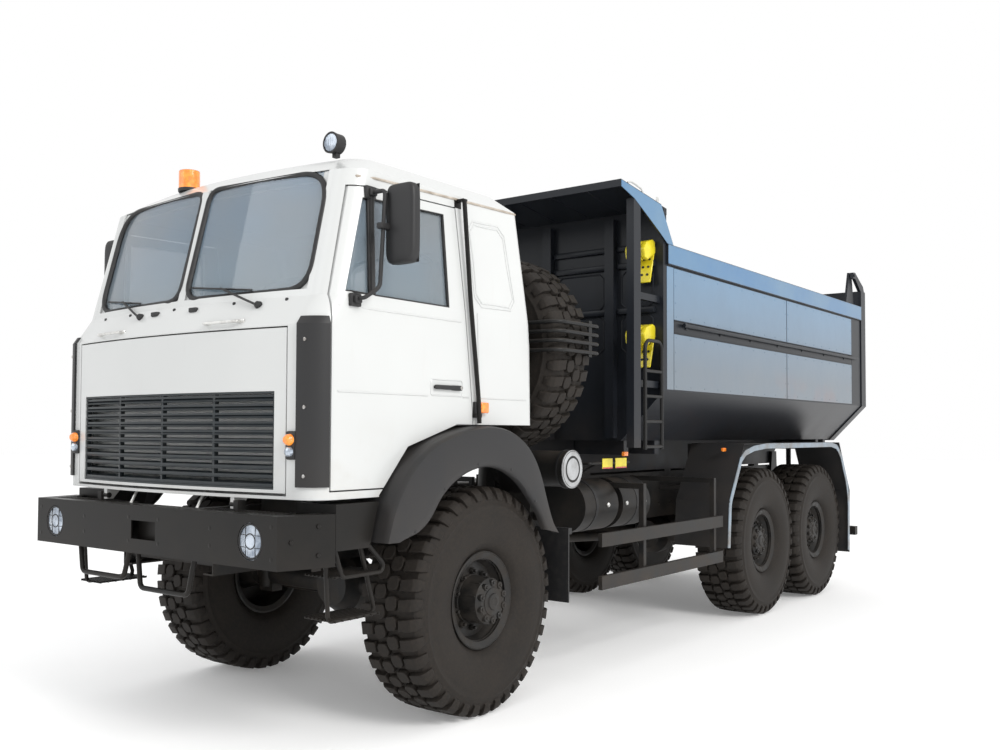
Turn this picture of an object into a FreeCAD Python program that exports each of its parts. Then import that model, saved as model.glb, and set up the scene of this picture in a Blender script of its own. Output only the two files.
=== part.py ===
import FreeCAD, Part
import math
import os
import re
import Sketcher
from types import SimpleNamespace
from FreeCAD import Placement, Rotation, Vector

# Three-axle dump truck. It faces -Y, +X is its left side, +Z is up, and the ground is z = 0.

SIZES = [
    # Overall layout
    ("overall_length", 8540, "bumper face to tailgate"),
    ("front_overhang", 1547, "bumper face to front axle"),
    ("wheelbase", 4265, "front axle to first rear axle"),
    ("tandem_spacing", 1400, "between the rear axles"),
    ("track", 1904, "between the middles of the tyres on one axle"),
    ("side_half", 1250, "widest half width, at the bed and the fenders"),
    ("running_gap", 0.05, "radial clearance of turning shafts"),
    ("rest_gap", 0.3, "between a piece and what it rests on"),
    # Wheels
    ("tyre_radius", 672, "to the tips of the lugs"),
    ("tyre_width", 438, "across the sidewalls"),
    ("bead_radius", 254, "tyre's seat on the rim"),
    ("rim_flange_radius", 286, "edge of the rim's flange"),
    ("rim_offset", 165, "rim edge outboard of the tyre's middle"),
    ("rim_wall", 12, "rim thickness"),
    ("disc_offset", 60, "wheel disc outboard of the tyre's middle"),
    ("disc_thickness", 16, "wheel disc"),
    ("hub_radius", 135, "reduction hub"),
    ("hub_neck", 90, "hub's inner end"),
    ("hub_inner", 105, "hub's inner face inboard of the tyre's middle"),
    ("front_hub_proud", 239, "front hub face outboard of the tyre's middle"),
    ("rear_hub_proud", 141, "rear hub face outboard of the tyre's middle"),
    ("hub_cap", 60, "closed outer end of the hub"),
    ("spindle_radius", 50, "spindle in the hub"),
    # Frame
    ("frame_half", 405, "outer face of the rails"),
    ("frame_bottom", 900, "under the rails"),
    ("frame_depth", 290, "rail height"),
    ("frame_flange", 80, "rail flange width"),
    ("frame_web", 9, "rail thickness"),
    ("frame_front_reach", 1395, "rail ends ahead of the front axle"),
    ("frame_rear_reach", 755, "rail ends behind the last axle"),
    ("cross_width", 70, "cross member width"),
    ("cross_inset", 45, "cross member height less than the rail, each edge"),
    ("subframe_depth", 120, "tipping subframe height"),
    ("subframe_width", 70, "tipping subframe beam width"),
    ("subframe_start", 1900, "subframe begins behind the front axle"),
    ("hinge_plate_gap", 6, "between the bed's hinge eye and the hinge plate"),
    ("hinge_plate", 30, "hinge plate thickness"),
    # Axles
    ("axle_tube", 78, "axle beam radius"),
    ("diff_radius", 190, "differential housing radius"),
    ("diff_front", 150, "differential housing ahead of its axle"),
    ("diff_back", 190, "rear differential housings behind their axle"),
    ("front_diff_back", 100, "front differential housing behind its axle"),
    ("spring_pad", 50, "half length of the seats under the springs"),
    ("kingpin_offset", 780, "kingpin from the centre line"),
    ("kingpin_radius", 24, "kingpin"),
    ("knuckle_radius", 62, "knuckle barrel"),
    ("knuckle_half", 95, "half the knuckle barrel's height"),
    ("fork_thickness", 28, "fork ear thickness"),
    ("fork_web", 22, "fork's upright thickness"),
    ("fork_half", 45, "half the fork's width"),
    ("ear_gap", 1, "between fork ear and knuckle"),
    ("steering_arm", 170, "track rod behind the kingpins"),
    ("arm_thickness", 24, "steering arm thickness"),
    ("arm_drop", 60, "steering arm below the axle line"),
    ("tie_rod_radius", 22, "track rod"),
    ("spring_middle", 360, "front spring from the centre line"),
    ("spring_width", 80, "leaf width"),
    ("spring_depth", 60, "front spring pack depth"),
    ("spring_half_length", 620, "front spring half length"),
    ("spring_rise", 105, "front spring's ends above its seat"),
    ("bogie_spring_middle", 500, "rear spring from the centre line"),
    ("bogie_spring_width", 90, "rear leaf width"),
    ("bogie_spring_depth", 130, "rear spring pack depth at its middle"),
    ("bogie_spring_arch", 40, "rear spring's middle above its ends"),
    ("trunnion_radius", 60, "rear spring trunnion"),
    ("trunnion_drop", 80, "trunnion below the rear spring"),
    # Driveline
    ("engine_half", 300, "engine half width"),
    ("engine_ahead", 480, "engine ahead of the front axle"),
    ("engine_behind", 560, "engine behind the front axle"),
    ("engine_top", 1560, "top of the engine"),
    ("gearbox_length", 340, "gearbox"),
    ("transfer_start", 1010, "transfer case begins behind the front axle"),
    ("transfer_end", 1330, "transfer case ends behind the front axle"),
    ("transfer_shaft", 830, "transfer case output height"),
    ("shaft_radius", 42, "propeller shaft"),
    ("shaft_flange", 62, "propeller shaft flange radius"),
    # Bumper
    ("bumper_low", 997, "bumper bottom"),
    ("bumper_high", 1256, "bumper top"),
    ("bumper_bend", 1075, "half width where the ends bend back"),
    ("bumper_end_half", 1160, "half width at the ends"),
    ("bumper_end_back", 300, "ends behind the bumper face"),
    ("bumper_depth", 110, "flange depth"),
    ("bumper_sheet", 8, "bumper thickness"),
    ("lamp_out", 880, "headlamp from the centre line"),
    ("lamp_height", 1125, "headlamp centre"),
    ("lamp_radius", 88, "headlamp lens"),
    ("lamp_depth", 90, "headlamp depth"),
    ("lamp_gap", 4, "headlamp in its hole"),
    ("lamp_rim", 14, "headlamp's rim wider than its lens"),
    ("hoop_radius", 14, "tube of the hoops under the bumper"),
    ("step_tube", 12, "tube of the cab steps"),
    # Cab
    ("cab_half", 1125, "cab side"),
    ("cab_bottom", 1322, "front panel's lower edge"),
    ("cab_seam", 2195, "seam above the front panel"),
    ("cab_scuttle", 2350, "foot of the windscreen"),
    ("cab_gutter", 3030, "roof gutter"),
    ("cab_top", 3130, "roof crown"),
    ("cab_front", 1445, "front panel's middle ahead of the front axle"),
    ("cab_screen_foot", 1335, "windscreen foot's middle ahead of the front axle"),
    ("cab_screen_head", 1165, "windscreen head's middle ahead of the front axle"),
    ("cab_roof_front", 1020, "roof crown's front ahead of the front axle"),
    ("cab_back_low", 525, "cab back at its foot, behind the front axle"),
    ("cab_back_high", 375, "cab back at the gutter, behind the front axle"),
    ("cab_roof_back", 290, "roof crown's back, behind the front axle"),
    ("cab_bow", 85, "how far the front bows out at its middle"),
    ("cab_corner", 150, "front corner radius"),
    ("cab_back_corner", 60, "rear corner radius"),
    ("cab_gutter_in", 25, "cab side leans in at the gutter"),
    ("cab_roof_in", 150, "roof crown narrower than the cab side"),
    ("cab_wall", 45, "cab wall and door thickness"),
    ("cab_tilt_ahead", 1400, "tilt pivot ahead of the front axle"),
    ("cab_tilt_height", 1285, "tilt pivot height"),
    ("cab_tilt_radius", 16, "tilt pivot pin"),
    ("tilt_eye_out", 560, "tilt eye from the centre line"),
    ("tilt_eye_width", 30, "tilt eye width"),
    ("fender_clear", 9, "between the fender and the cab"),
    ("panel_half", 925, "front panel half width"),
    ("panel_low", 1352, "front panel's foot"),
    ("panel_swing", 14, "room under the front panel for its swing"),
    ("panel_gap", 8, "gap round doors and panel"),
    ("grille_half", 853, "grille half width"),
    ("grille_low", 1368, "grille foot"),
    ("grille_high", 1862, "grille head"),
    ("grille_slats", 11, "grille slats"),
    ("slat_depth", 26, "grille slat depth"),
    ("slat_thickness", 12, "grille slat thickness"),
    ("screen_pillar", 30, "half the bar between the windscreens"),
    ("screen_half", 938, "windscreen's outer edge"),
    ("screen_low", 2386, "windscreen opening's foot"),
    ("screen_high", 3035, "windscreen opening's head"),
    ("glass_inset", 16, "glass behind the cab's skin"),
    ("glass_thickness", 6, "glass"),
    ("back_window_half", 420, "back window half width"),
    ("door_front", 1245, "door's front edge ahead of the front axle"),
    ("door_back", 115, "door's back edge ahead of the front axle"),
    ("door_low", 1368, "door foot"),
    ("door_high", 2950, "door head"),
    ("window_low", 2370, "door window foot"),
    ("window_high", 2895, "door window head"),
    ("window_front", 1150, "door window front ahead of the front axle"),
    ("window_back", 370, "door window back ahead of the front axle"),
    ("vent_bar", 960, "bar of the vent pane ahead of the front axle"),
    ("vent_bar_width", 34, "bar of the vent pane"),
    ("deflector_low", 1385, "corner deflector's foot"),
    ("deflector_high", 2234, "corner deflector's head"),
    ("deflector_sheet", 12, "corner deflector thickness"),
    ("mirror_out", 1290, "mirror's middle from the centre line"),
    ("mirror_ahead", 920, "mirror ahead of the front axle"),
    ("mirror_height", 2730, "mirror's middle"),
    ("mirror_tube", 11, "mirror arm radius"),
    # Fender
    ("fender_inner", 905, "fender's inner edge from the centre line"),
    ("fender_sheet", 14, "fender thickness"),
    ("fender_top", 1696, "top of the fender"),
    ("arch_top", 1476, "top of the wheel opening"),
    ("fender_stay", 30, "bars under the fender"),
    ("flap_place", 806, "front mud flap behind the front axle"),
    ("flap_sheet", 12, "mud flap thickness"),
    # Bed
    ("bed_front", 2070, "front wall behind the front axle"),
    ("bed_gate", 150, "tailgate thickness"),
    ("gate_gap", 8, "between tailgate and bed"),
    ("bed_floor", 1600, "under the floor"),
    ("bed_floor_half", 870, "half width of the floor"),
    ("bed_chine", 1977, "where the sides turn upright"),
    ("bed_rail_low", 2935, "under the top rail"),
    ("bed_top", 3092, "top rail"),
    ("bed_wall", 60, "side wall"),
    ("bed_front_wall", 50, "front wall thickness"),
    ("bed_sheet", 16, "floor and lower side"),
    ("side_inset", 15, "side panels behind the top rail's face"),
    ("front_rib", 60, "ribs proud of the front wall"),
    ("canopy_front", 1405, "canopy's edge behind the front axle"),
    ("canopy_tip", 3443, "canopy's front height"),
    ("canopy_back", 3372, "canopy's height over the front wall"),
    ("canopy_sheet", 12, "canopy sheet"),
    ("canopy_lip", 52, "lip at the canopy's front"),
    ("gusset_back", 2210, "gusset's foot behind the front axle"),
    ("gusset_shoulder", 2010, "gusset's shoulder behind the front axle"),
    ("post_place", 1640, "canopy post behind the front axle"),
    ("post_depth", 100, "canopy post depth"),
    ("post_width", 60, "canopy post width"),
    ("post_low", 1555, "foot of the canopy post"),
    ("beam_clear", 20, "bed beams above the subframe"),
    ("bed_cross", 110, "cross members under the floor"),
    ("bed_cross_width", 70, "cross members under the floor"),
    ("hinge_back", 635, "bed hinge behind the last axle"),
    ("hinge_height", 1402, "bed hinge"),
    ("hinge_pin", 26, "bed hinge pin"),
    ("hinge_eye", 68, "bed hinge eye"),
    ("gate_pivot_ahead", 370, "tailgate pivot ahead of the tailgate's back"),
    ("gate_pivot_height", 3420, "tailgate pivot"),
    ("gate_pin", 16, "tailgate pivot pin"),
    ("gate_drop", 150, "tailgate's top below its pivot"),
    ("gate_plate", 30, "tailgate's inner plate"),
    ("gate_ear", 24, "tailgate ear on the bed"),
    ("ladder_tube", 14, "ladder's rails"),
    # Hoist
    ("hoist_foot_place", 1550, "hoist foot behind the front axle"),
    ("hoist_foot_height", 960, "hoist foot"),
    ("hoist_head_place", 1640, "hoist head behind the front axle"),
    ("hoist_head_height", 2310, "hoist head"),
    ("hoist_radius", 105, "hoist barrel"),
    ("hoist_step", 16, "radius lost at each stage"),
    ("hoist_gap", 1, "between one stage and the next"),
    ("hoist_collar", 18, "each stage's head above the one round it"),
    ("hoist_neck", 130, "head's eye above the barrel"),
    ("hoist_pin", 22, "hoist pins"),
    ("hoist_cheek_gap", 12, "head's eye from each cheek"),
    # Spare wheel
    ("spare_side", 560, "spare wheel's middle from the centre line"),
    ("spare_place", 845, "spare wheel's middle behind the front axle"),
    ("spare_height", 2200, "spare wheel's middle"),
    ("carrier_bar", 60, "spare carrier beam"),
    ("carrier_gap", 16, "spare carrier behind the tyre"),
    ("guard_bar", 13, "bars round the spare wheel"),
    # Side gear
    ("tank_radius", 190, "air tanks"),
    ("tank_middle", 800, "air tanks from the centre line"),
    ("tank_height", 1130, "air tanks' middle"),
    ("cleaner_radius", 125, "air cleaner"),
    ("cleaner_height", 1410, "air cleaner's middle"),
    ("cleaner_place", 1130, "air cleaner behind the front axle"),
    ("fuel_low", 740, "fuel tank's foot"),
    ("fuel_high", 1235, "fuel tank's top"),
    ("guard_start", 1200, "side guard begins behind the front axle"),
    ("guard_end", 3160, "side guard ends behind the front axle"),
    ("guard_low", 594, "lower rail's foot"),
    ("guard_mid", 884, "upper rail's foot"),
    ("guard_rail", 93, "guard rail height"),
    ("guard_sheet", 30, "guard rail thickness"),
    ("guard_leg", 40, "guard leg"),
    ("guard_out", 1220, "guard rails' outer face"),
    ("mudguard_top", 1571, "top of the rear mudguards"),
    ("mudguard_sheet", 4, "mudguard sheet"),
    ("mudguard_inner", 745, "mudguard's inner edge"),
    ("mudguard_outer", 1240, "mudguard's outer edge"),
    ("mudguard_arm", 40, "mudguard arms"),
    ("underrun_low", 547, "underrun bar's foot"),
    ("underrun_high", 640, "underrun bar's top"),
    ("underrun_back", 1010, "underrun bar behind the last axle"),
]

PLACES = [
    ("bumper_face", "-overall_length / 2"),
    ("gate_top", "gate_pivot_height - gate_drop"),
    ("front_axle", "bumper_face + front_overhang"),
    ("mid_axle", "front_axle + wheelbase"),
    ("rear_axle", "mid_axle + tandem_spacing"),
    ("bogie", "(mid_axle + rear_axle) / 2"),
    ("axle_height", "tyre_radius"),
    ("wheel_out", "track / 2"),
    ("spring_seat", "axle_height + axle_tube"),
    ("frame_top", "frame_bottom + frame_depth"),
    ("frame_inner", "frame_half - frame_web"),
    ("frame_front", "front_axle - frame_front_reach"),
    ("frame_rear", "rear_axle + frame_rear_reach"),
    ("subframe_top", "frame_top + subframe_depth"),
    ("gate_back", "overall_length / 2"),
    ("gate_face", "gate_back - bed_gate"),
    ("bed_end", "gate_face - gate_gap"),
    ("bed_start", "front_axle + bed_front"),
    ("bed_inside", "bed_start + bed_front_wall"),
    ("bed_side", "side_half - side_inset"),
    ("hinge_place", "rear_axle + hinge_back"),
    ("gate_pivot", "gate_back - gate_pivot_ahead"),
    ("tilt_pivot", "front_axle - cab_tilt_ahead"),
    ("cab_floor", "fender_top + fender_clear + cab_wall"),
    ("hoist_foot", "front_axle + hoist_foot_place"),
    ("hoist_head", "front_axle + hoist_head_place"),
]

doc = FreeCAD.newDocument("DumpTruck")
sheet = doc.addObject("Spreadsheet::Sheet", "size")
for row, (alias, number, note) in enumerate(SIZES, start=1):
    sheet.set(f"A{row}", note)
    sheet.set(f"B{row}", str(number))
    sheet.setAlias(f"B{row}", alias)

SIZE_NAMES = {alias for alias, number, note in SIZES}
PLACE_NAMES = {name for name, text in PLACES}
WORD = re.compile(r"[a-z][a-z_0-9]*")


def formula(text):
    """An expression in which every size and place carries the name of the object that holds it."""
    def owned(match):
        word = match.group()
        if word in SIZE_NAMES:
            return "size." + word
        return "at." + word if word in PLACE_NAMES else word
    return WORD.sub(owned, str(text))


places = doc.addObject("App::VarSet", "at")
for name, text in PLACES:
    places.addProperty("App::PropertyFloat", name)
    places.setExpression(name, formula(text))
doc.recompute()
value = SimpleNamespace(
    **{name: float(getattr(sheet, name)) for name in SIZE_NAMES},
    **{name: float(getattr(places, name)) for name in PLACE_NAMES},
)

AXES = {"x": Vector(1, 0, 0), "y": Vector(0, 1, 0), "z": Vector(0, 0, 1)}
ALONG = {"x": Rotation(Vector(0, 1, 0), 90), "y": Rotation(Vector(1, 0, 0), -90), "z": Rotation()}
UPRIGHT = {"x": Rotation(Vector(1, 1, 1), 120), "y": Rotation(Vector(1, 0, 0), 90), "z": Rotation()}


def box(name, x, y, z):
    """A block between two corners; each span is (low, high)."""
    block = doc.addObject("Part::Box", name)
    for side, axis, (low, high) in zip(("Length", "Width", "Height"), "xyz", (x, y, z)):
        block.setExpression(side, formula(f"({high}) - ({low})"))
        block.setExpression(f"Placement.Base.{axis}", formula(low))
    return block


def rod(name, along, span, centre, radius):
    """A cylinder along an axis, between two places, round a centre in the other two directions."""
    low, high = span
    cylinder = doc.addObject("Part::Cylinder", name)
    cylinder.Placement = Placement(Vector(), ALONG[along])
    cylinder.setExpression("Radius", formula(radius))
    cylinder.setExpression("Height", formula(f"({high}) - ({low})"))
    others = iter(centre)
    for axis in "xyz":
        place = low if axis == along else next(others)
        cylinder.setExpression(f"Placement.Base.{axis}", formula(place))
    return cylinder


def outline(name, across, points, base="0"):
    """A closed sketch in the plane across an axis, each corner held at its own place."""
    sketch = doc.addObject("Sketcher::SketchObject", name + "_outline")
    count = len(points)
    turns = [2 * math.pi * n / count for n in range(count + 1)]
    corners = [Vector(math.cos(turn), math.sin(turn), 0) for turn in turns]
    sketch.addGeometry([Part.LineSegment(a, b) for a, b in zip(corners, corners[1:])], False)
    for n in range(count):
        sketch.addConstraint(Sketcher.Constraint("Coincident", n, 2, (n + 1) % count, 1))
    for n, pair in enumerate(points):
        for kind, text in zip(("DistanceX", "DistanceY"), pair):
            held = sketch.addConstraint(Sketcher.Constraint(kind, -1, 1, n, 1, 1.0))
            sketch.setExpression(f"Constraints[{held}]", formula(text))
    sketch.Placement = Placement(Vector(), UPRIGHT[across])
    sketch.setExpression(f"Placement.Base.{across}", formula(base))
    return sketch


def prism(name, across, span, points):
    """A sketched outline pushed along an axis between two places."""
    low, high = span
    solid = doc.addObject("Part::Extrusion", name)
    solid.Base = outline(name, across, points, low)
    solid.DirMode = "Custom"
    solid.Dir = AXES[across]
    solid.Solid = True
    solid.setExpression("LengthFwd", formula(f"({high}) - ({low})"))
    return solid


def turned(name, along, centre, points):
    """A sketched half section (along, radius) turned about an axis through a centre."""
    sketch = outline(name, "z", points)
    solid = doc.addObject("Part::Revolution", name)
    solid.Source = sketch
    solid.Axis = Vector(1, 0, 0)
    solid.Base = Vector()
    solid.Angle = 360
    solid.Solid = True
    spin = {"x": Rotation(), "y": Rotation(Vector(0, 0, 1), 90), "z": Rotation(Vector(0, 1, 0), -90)}[along]
    solid.Placement = Placement(Vector(), spin)
    for axis, place in zip("xyz", centre):
        solid.setExpression(f"Placement.Base.{axis}", formula(place))
    return solid


def joined(name, *pieces):
    fusion = doc.addObject("Part::MultiFuse", name)
    fusion.Shapes = list(pieces)
    fusion.Refine = True
    return fusion


def less(name, base, *tools):
    tool = tools[0] if len(tools) == 1 else together(name + "_tools", *tools)
    cut = doc.addObject("Part::Cut", name)
    cut.Base = base
    cut.Tool = tool
    return cut


def shared(name, *pieces):
    common = doc.addObject("Part::MultiCommon", name)
    common.Shapes = list(pieces)
    return common


def mirrored(piece):
    other = doc.addObject("Part::Mirroring", piece.Name + "_right")
    other.Source = piece
    other.Normal = Vector(1, 0, 0)
    return other


def together(name, *pieces):
    """Like pieces that don't touch, kept as one object."""
    group = doc.addObject("Part::Compound", name)
    group.Links = list(pieces)
    return group


def both_sides(name, *pieces):
    return together(name, *pieces, *[mirrored(piece) for piece in pieces])


def feature(name, shape, place=None):
    """A solid made with Part's own functions."""
    held = doc.addObject("Part::Feature", name)
    held.Shape = shape
    if place:
        held.Placement = place
    return held


def rounded(name, base, radius, test):
    """Rounds the edges of a solid whose middle passes a test."""
    doc.recompute()
    fillet = doc.addObject("Part::Fillet", name)
    fillet.Base = base
    chosen = [n for n, edge in enumerate(base.Shape.Edges, 1) if test(edge)]
    fillet.Edges = [(n, radius, radius) for n in chosen]
    return fillet


def runs(edge, axis):
    """Whether a straight edge runs along an axis."""
    if not isinstance(edge.Curve, Part.Line):
        return False
    return abs(edge.Curve.Direction.dot(AXES[axis])) > 0.999


def bent_tube(points, radius, bend):
    """A tube whose straight runs are joined by tangent arcs."""
    points = [Vector(*point) for point in points]
    edges = []
    last = points[0]
    for before, here, after in zip(points, points[1:], points[2:]):
        back = (before - here).normalize()
        ahead = (after - here).normalize()
        half = back.getAngle(ahead) / 2
        reach = bend / math.tan(half)
        start = here + back * reach
        end = here + ahead * reach
        middle_line = (back + ahead).normalize()
        centre = here + middle_line * (bend / math.sin(half))
        edges += [Part.LineSegment(last, start).toShape()]
        edges += [Part.Arc(start, centre - middle_line * bend, end).toShape()]
        last = end
    edges.append(Part.LineSegment(last, points[-1]).toShape())
    path = Part.Wire(edges)
    section = Part.Wire(Part.makeCircle(radius, points[0], points[1] - points[0]))
    return path.makePipeShell([section], True, False)


def bar(start, end, radius):
    """A round bar between two points."""
    start, end = Vector(*start), Vector(*end)
    return Part.makeCylinder(radius, (end - start).Length, start, end - start)


def left_and_right(low, high):
    """A span on the left side and the same on the right."""
    return (low, high), (f"-({high})", f"-({low})")


nodes = {}


def node(name, piece):
    """Names a finished sub-part, which is what its file is called."""
    piece.Label = name
    nodes[name] = piece
    return piece


# Wheels

def rim_well(hole):
    """Half section of the rim's well and flanges, from the disc's outer face round to its inner face."""
    return [
        ("disc_offset + disc_thickness", hole),
        ("disc_offset + disc_thickness", "bead_radius - rim_wall - 22"),
        ("disc_offset + disc_thickness + 40", "bead_radius - rim_wall"),
        ("rim_offset - 14", "bead_radius - rim_wall"),
        ("rim_offset", "rim_flange_radius - rim_wall"),
        ("rim_offset", "rim_flange_radius"),
        ("rim_offset - rim_wall", "rim_flange_radius"),
        ("tyre_width * 0.34 + 2", "bead_radius"),
        ("-tyre_width * 0.34 - 2", "bead_radius"),
        ("-rim_offset + rim_wall", "rim_flange_radius"),
        ("-rim_offset", "rim_flange_radius"),
        ("-rim_offset", "rim_flange_radius - rim_wall"),
        ("-rim_offset + 14", "bead_radius - rim_wall"),
        ("disc_offset - 30", "bead_radius - rim_wall"),
        ("disc_offset", "bead_radius - rim_wall - 22"),
    ]


def rim_section(proud):
    """Half section of a driven rim with its reduction hub, from the tyre's middle outwards."""
    return [
        ("-hub_inner", "spindle_radius + running_gap"),
        (f"{proud} - hub_cap", "spindle_radius + running_gap"),
        (f"{proud} - hub_cap", "0"),
        (proud, "0"),
        (proud, "hub_radius - 25"),
        (f"{proud} - 25", "hub_radius"),
        *rim_well("hub_radius + 8"),
        ("disc_offset", "hub_radius"),
        ("-hub_inner", "hub_neck"),
    ]


def tyre(name, along, centre):
    """A tyre out to the tips of its lugs, its beads inside the rim's flanges."""
    half = [
        ("tyre_width * 0.34", "bead_radius + rest_gap"),
        ("tyre_width * 0.34", "rim_flange_radius + 2"),
        ("tyre_width * 0.42", "rim_flange_radius + 24"),
        ("tyre_width / 2", "tyre_radius * 0.70"),
        ("tyre_width * 0.49", "tyre_radius * 0.86"),
        ("tyre_width * 0.43", "tyre_radius"),
    ]
    other = [(f"-({across})", radius) for across, radius in reversed(half)]
    return turned(name, along, centre, half + other)


def wheels():
    """Six single wheels; the right ones are the left ones turned about."""
    for axle in ("front", "mid", "rear"):
        proud = "front_hub_proud" if axle == "front" else "rear_hub_proud"
        for side, sign in (("left", 1), ("right", -1)):
            centre = (f"{sign} * wheel_out", f"{axle}_axle", "axle_height")
            rubber = tyre(f"tyre_{axle}_{side}", "x", centre)
            rim = turned(f"rim_{axle}_{side}", "x", centre, rim_section(proud))
            for piece in (rubber, rim):
                if sign < 0:
                    piece.Placement.Rotation = Rotation(Vector(0, 0, 1), 180)
                node(piece.Name, piece)


def spare_wheel():
    """Spare wheel standing across behind the cab, its carrier on the frame, and the bars round it."""
    centre = ("spare_side", "front_axle + spare_place", "spare_height")
    node("spare_tyre", tyre("spare_tyre", "y", centre))
    rim = turned("spare_rim", "y", centre, [*rim_well("hub_radius"), ("disc_offset", "hub_radius")])
    disc = "front_axle + spare_place + disc_offset + disc_thickness"
    back = "front_axle + spare_place + tyre_width / 2 + carrier_gap"
    middle = ("spare_side", "spare_height")
    depth = (back, f"{back} + carrier_bar")
    pieces = [
        rim,
        rod("spare_plate", "y", (disc, f"{disc} + 16"), middle, "hub_radius + 30"),
        rod("spare_hub", "y", (disc, back), middle, "hub_radius - 50"),
        box("spare_beam", ("-frame_half", "spare_side + 60"), depth,
            ("spare_height - carrier_bar", "spare_height + carrier_bar")),
    ]
    for n, span in enumerate(left_and_right("frame_half - frame_flange", "frame_half - 10"), 1):
        pieces.append(box(f"spare_mast_{n}", span, depth, ("frame_top", "spare_height - carrier_bar")))
    v = value
    behind = v.front_axle + v.spare_place + v.tyre_width / 2 + v.carrier_gap + v.carrier_bar / 2
    ahead = v.front_axle + v.spare_place - v.tyre_width / 2 - v.carrier_gap - v.guard_bar
    out = v.spare_side + v.tyre_radius + v.carrier_gap + v.guard_bar
    post = v.spare_side + v.carrier_bar / 2
    for n, height in enumerate((-10, 50, 110, 170), 1):
        high = v.spare_height + height
        route = [(post, behind, high), (out, behind, high), (out, ahead, high), (v.spare_side + 340, ahead, high)]
        pieces.append(feature(f"spare_bar_{n}", bent_tube(route, v.guard_bar, 70)))
    pieces.append(box("spare_post", ("spare_side", "spare_side + carrier_bar"), depth,
                      ("spare_height - carrier_bar", "spare_height + 200")))
    strip_out = "spare_side + tyre_radius + carrier_gap + guard_bar"
    pieces.append(box("spare_strip", (f"{strip_out} - 5", f"{strip_out} + 5"), (f"{back} - 130", f"{back} - 90"),
                      ("spare_height - 40", "spare_height + 200")))
    node("spare_carrier", joined("spare_carrier", *pieces))


# Frame, axles and springs

def frame():
    """Two channel rails with what is welded to them, and the tipping subframe on top."""
    rail = prism("frame_rail", "y", ("frame_front", "frame_rear"), [
        ("frame_half", "frame_bottom"),
        ("frame_half", "frame_top"),
        ("frame_half - frame_flange", "frame_top"),
        ("frame_half - frame_flange", "frame_top - frame_web"),
        ("frame_inner", "frame_top - frame_web"),
        ("frame_inner", "frame_bottom + frame_web"),
        ("frame_half - frame_flange", "frame_bottom + frame_web"),
        ("frame_half - frame_flange", "frame_bottom"),
    ])
    where = ["frame_front + cross_width", "front_axle + transfer_start - cross_width * 0.8",
             "front_axle + subframe_start", "front_axle + 3000", "bogie - 330", "bogie + 330",
             "frame_rear - cross_width"]
    pieces = [rail, mirrored(rail)]
    for n, place in enumerate(where, 1):
        pieces.append(box(f"frame_member_{n}", ("-frame_inner", "frame_inner"),
                          (f"{place} - cross_width / 2", f"{place} + cross_width / 2"),
                          ("frame_bottom + cross_inset", "frame_top - cross_inset")))
    pieces += cab_mounts() + bogie_brackets() + hoist_mount() + tail_end()
    node("frame", joined("frame", *pieces))
    subframe()


def cab_mounts():
    """Towers with the cab's tilt pins at the front, and posts under its back."""
    pieces = []
    low = "cab_tilt_height - 34"
    gap = "tilt_eye_out + tilt_eye_width + 10"
    for n, (sign, ends) in enumerate(((1, ("frame_half - frame_flange + 20", "tilt_eye_out + 75")),
                                      (-1, ("-tilt_eye_out - 75", "-frame_half + frame_flange - 20"))), 1):
        tower = (gap, "tilt_eye_out + 75") if sign > 0 else ("-tilt_eye_out - 75", f"-({gap})")
        pin = ("tilt_eye_out - 5", gap) if sign > 0 else (f"-({gap})", "-tilt_eye_out + 5")
        pieces += [
            box(f"tilt_beam_{n}", ends, ("tilt_pivot - 25", "tilt_pivot + 60"), ("frame_top", low)),
            prism(f"tilt_tower_{n}", "x", tower, [
                ("tilt_pivot - 25", low), ("tilt_pivot + 40", low),
                ("tilt_pivot + 25", "cab_tilt_height + 22"), ("tilt_pivot - 25", "cab_tilt_height + 22")]),
            rod(f"tilt_pin_{n}", "x", pin, ("tilt_pivot", "cab_tilt_height"), "cab_tilt_radius"),
        ]
    for n, span in enumerate(left_and_right("frame_half - carrier_bar", "frame_half"), 1):
        pieces.append(box(f"cab_post_{n}", span, ("front_axle + 410", "front_axle + 470"),
                          ("frame_top", "fender_top + fender_clear - rest_gap")))
    return pieces


def bogie_brackets():
    """Hangers under the rails with the stub shafts and saddles of the rear springs."""
    pieces = []
    for n, sign in enumerate((1, -1), 1):
        def span(low, high, sign=sign):
            return (low, high) if sign > 0 else (f"-({high})", f"-({low})")
        pieces += [
            box(f"bogie_hanger_{n}", span("frame_half - frame_flange", "frame_half"), ("bogie - 110", "bogie + 110"),
                ("spring_seat - trunnion_drop - 30", "frame_bottom")),
            rod(f"bogie_stub_{n}", "x", span("frame_half", "bogie_spring_middle + bogie_spring_width / 2"),
                ("bogie", "spring_seat + bogie_spring_arch - trunnion_drop"), "trunnion_radius"),
            box(f"bogie_saddle_{n}",
                span("bogie_spring_middle - bogie_spring_width / 2", "bogie_spring_middle + bogie_spring_width / 2"),
                ("bogie - 90", "bogie + 90"),
                ("spring_seat + bogie_spring_arch - trunnion_drop", "spring_seat + bogie_spring_arch")),
        ]
    return pieces


def hoist_mount():
    """Cross beam between the rails with two lugs and the hoist's foot pin."""
    low, high = "hoist_foot_height - 50", "hoist_foot_height + 40"
    pieces = [
        box("hoist_beam", ("-frame_inner", "frame_inner"), ("hoist_foot - 130", "hoist_foot - 70"), (low, high)),
        rod("hoist_foot_pin", "x", ("-64", "64"), ("hoist_foot", "hoist_foot_height"), "hoist_pin"),
    ]
    for n, span in enumerate(left_and_right("44", "64"), 1):
        pieces.append(box(f"hoist_lug_{n}", span, ("hoist_foot - 70", "hoist_foot + 40"),
                          ("hoist_foot_height - 40", high)))
    return pieces


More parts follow.
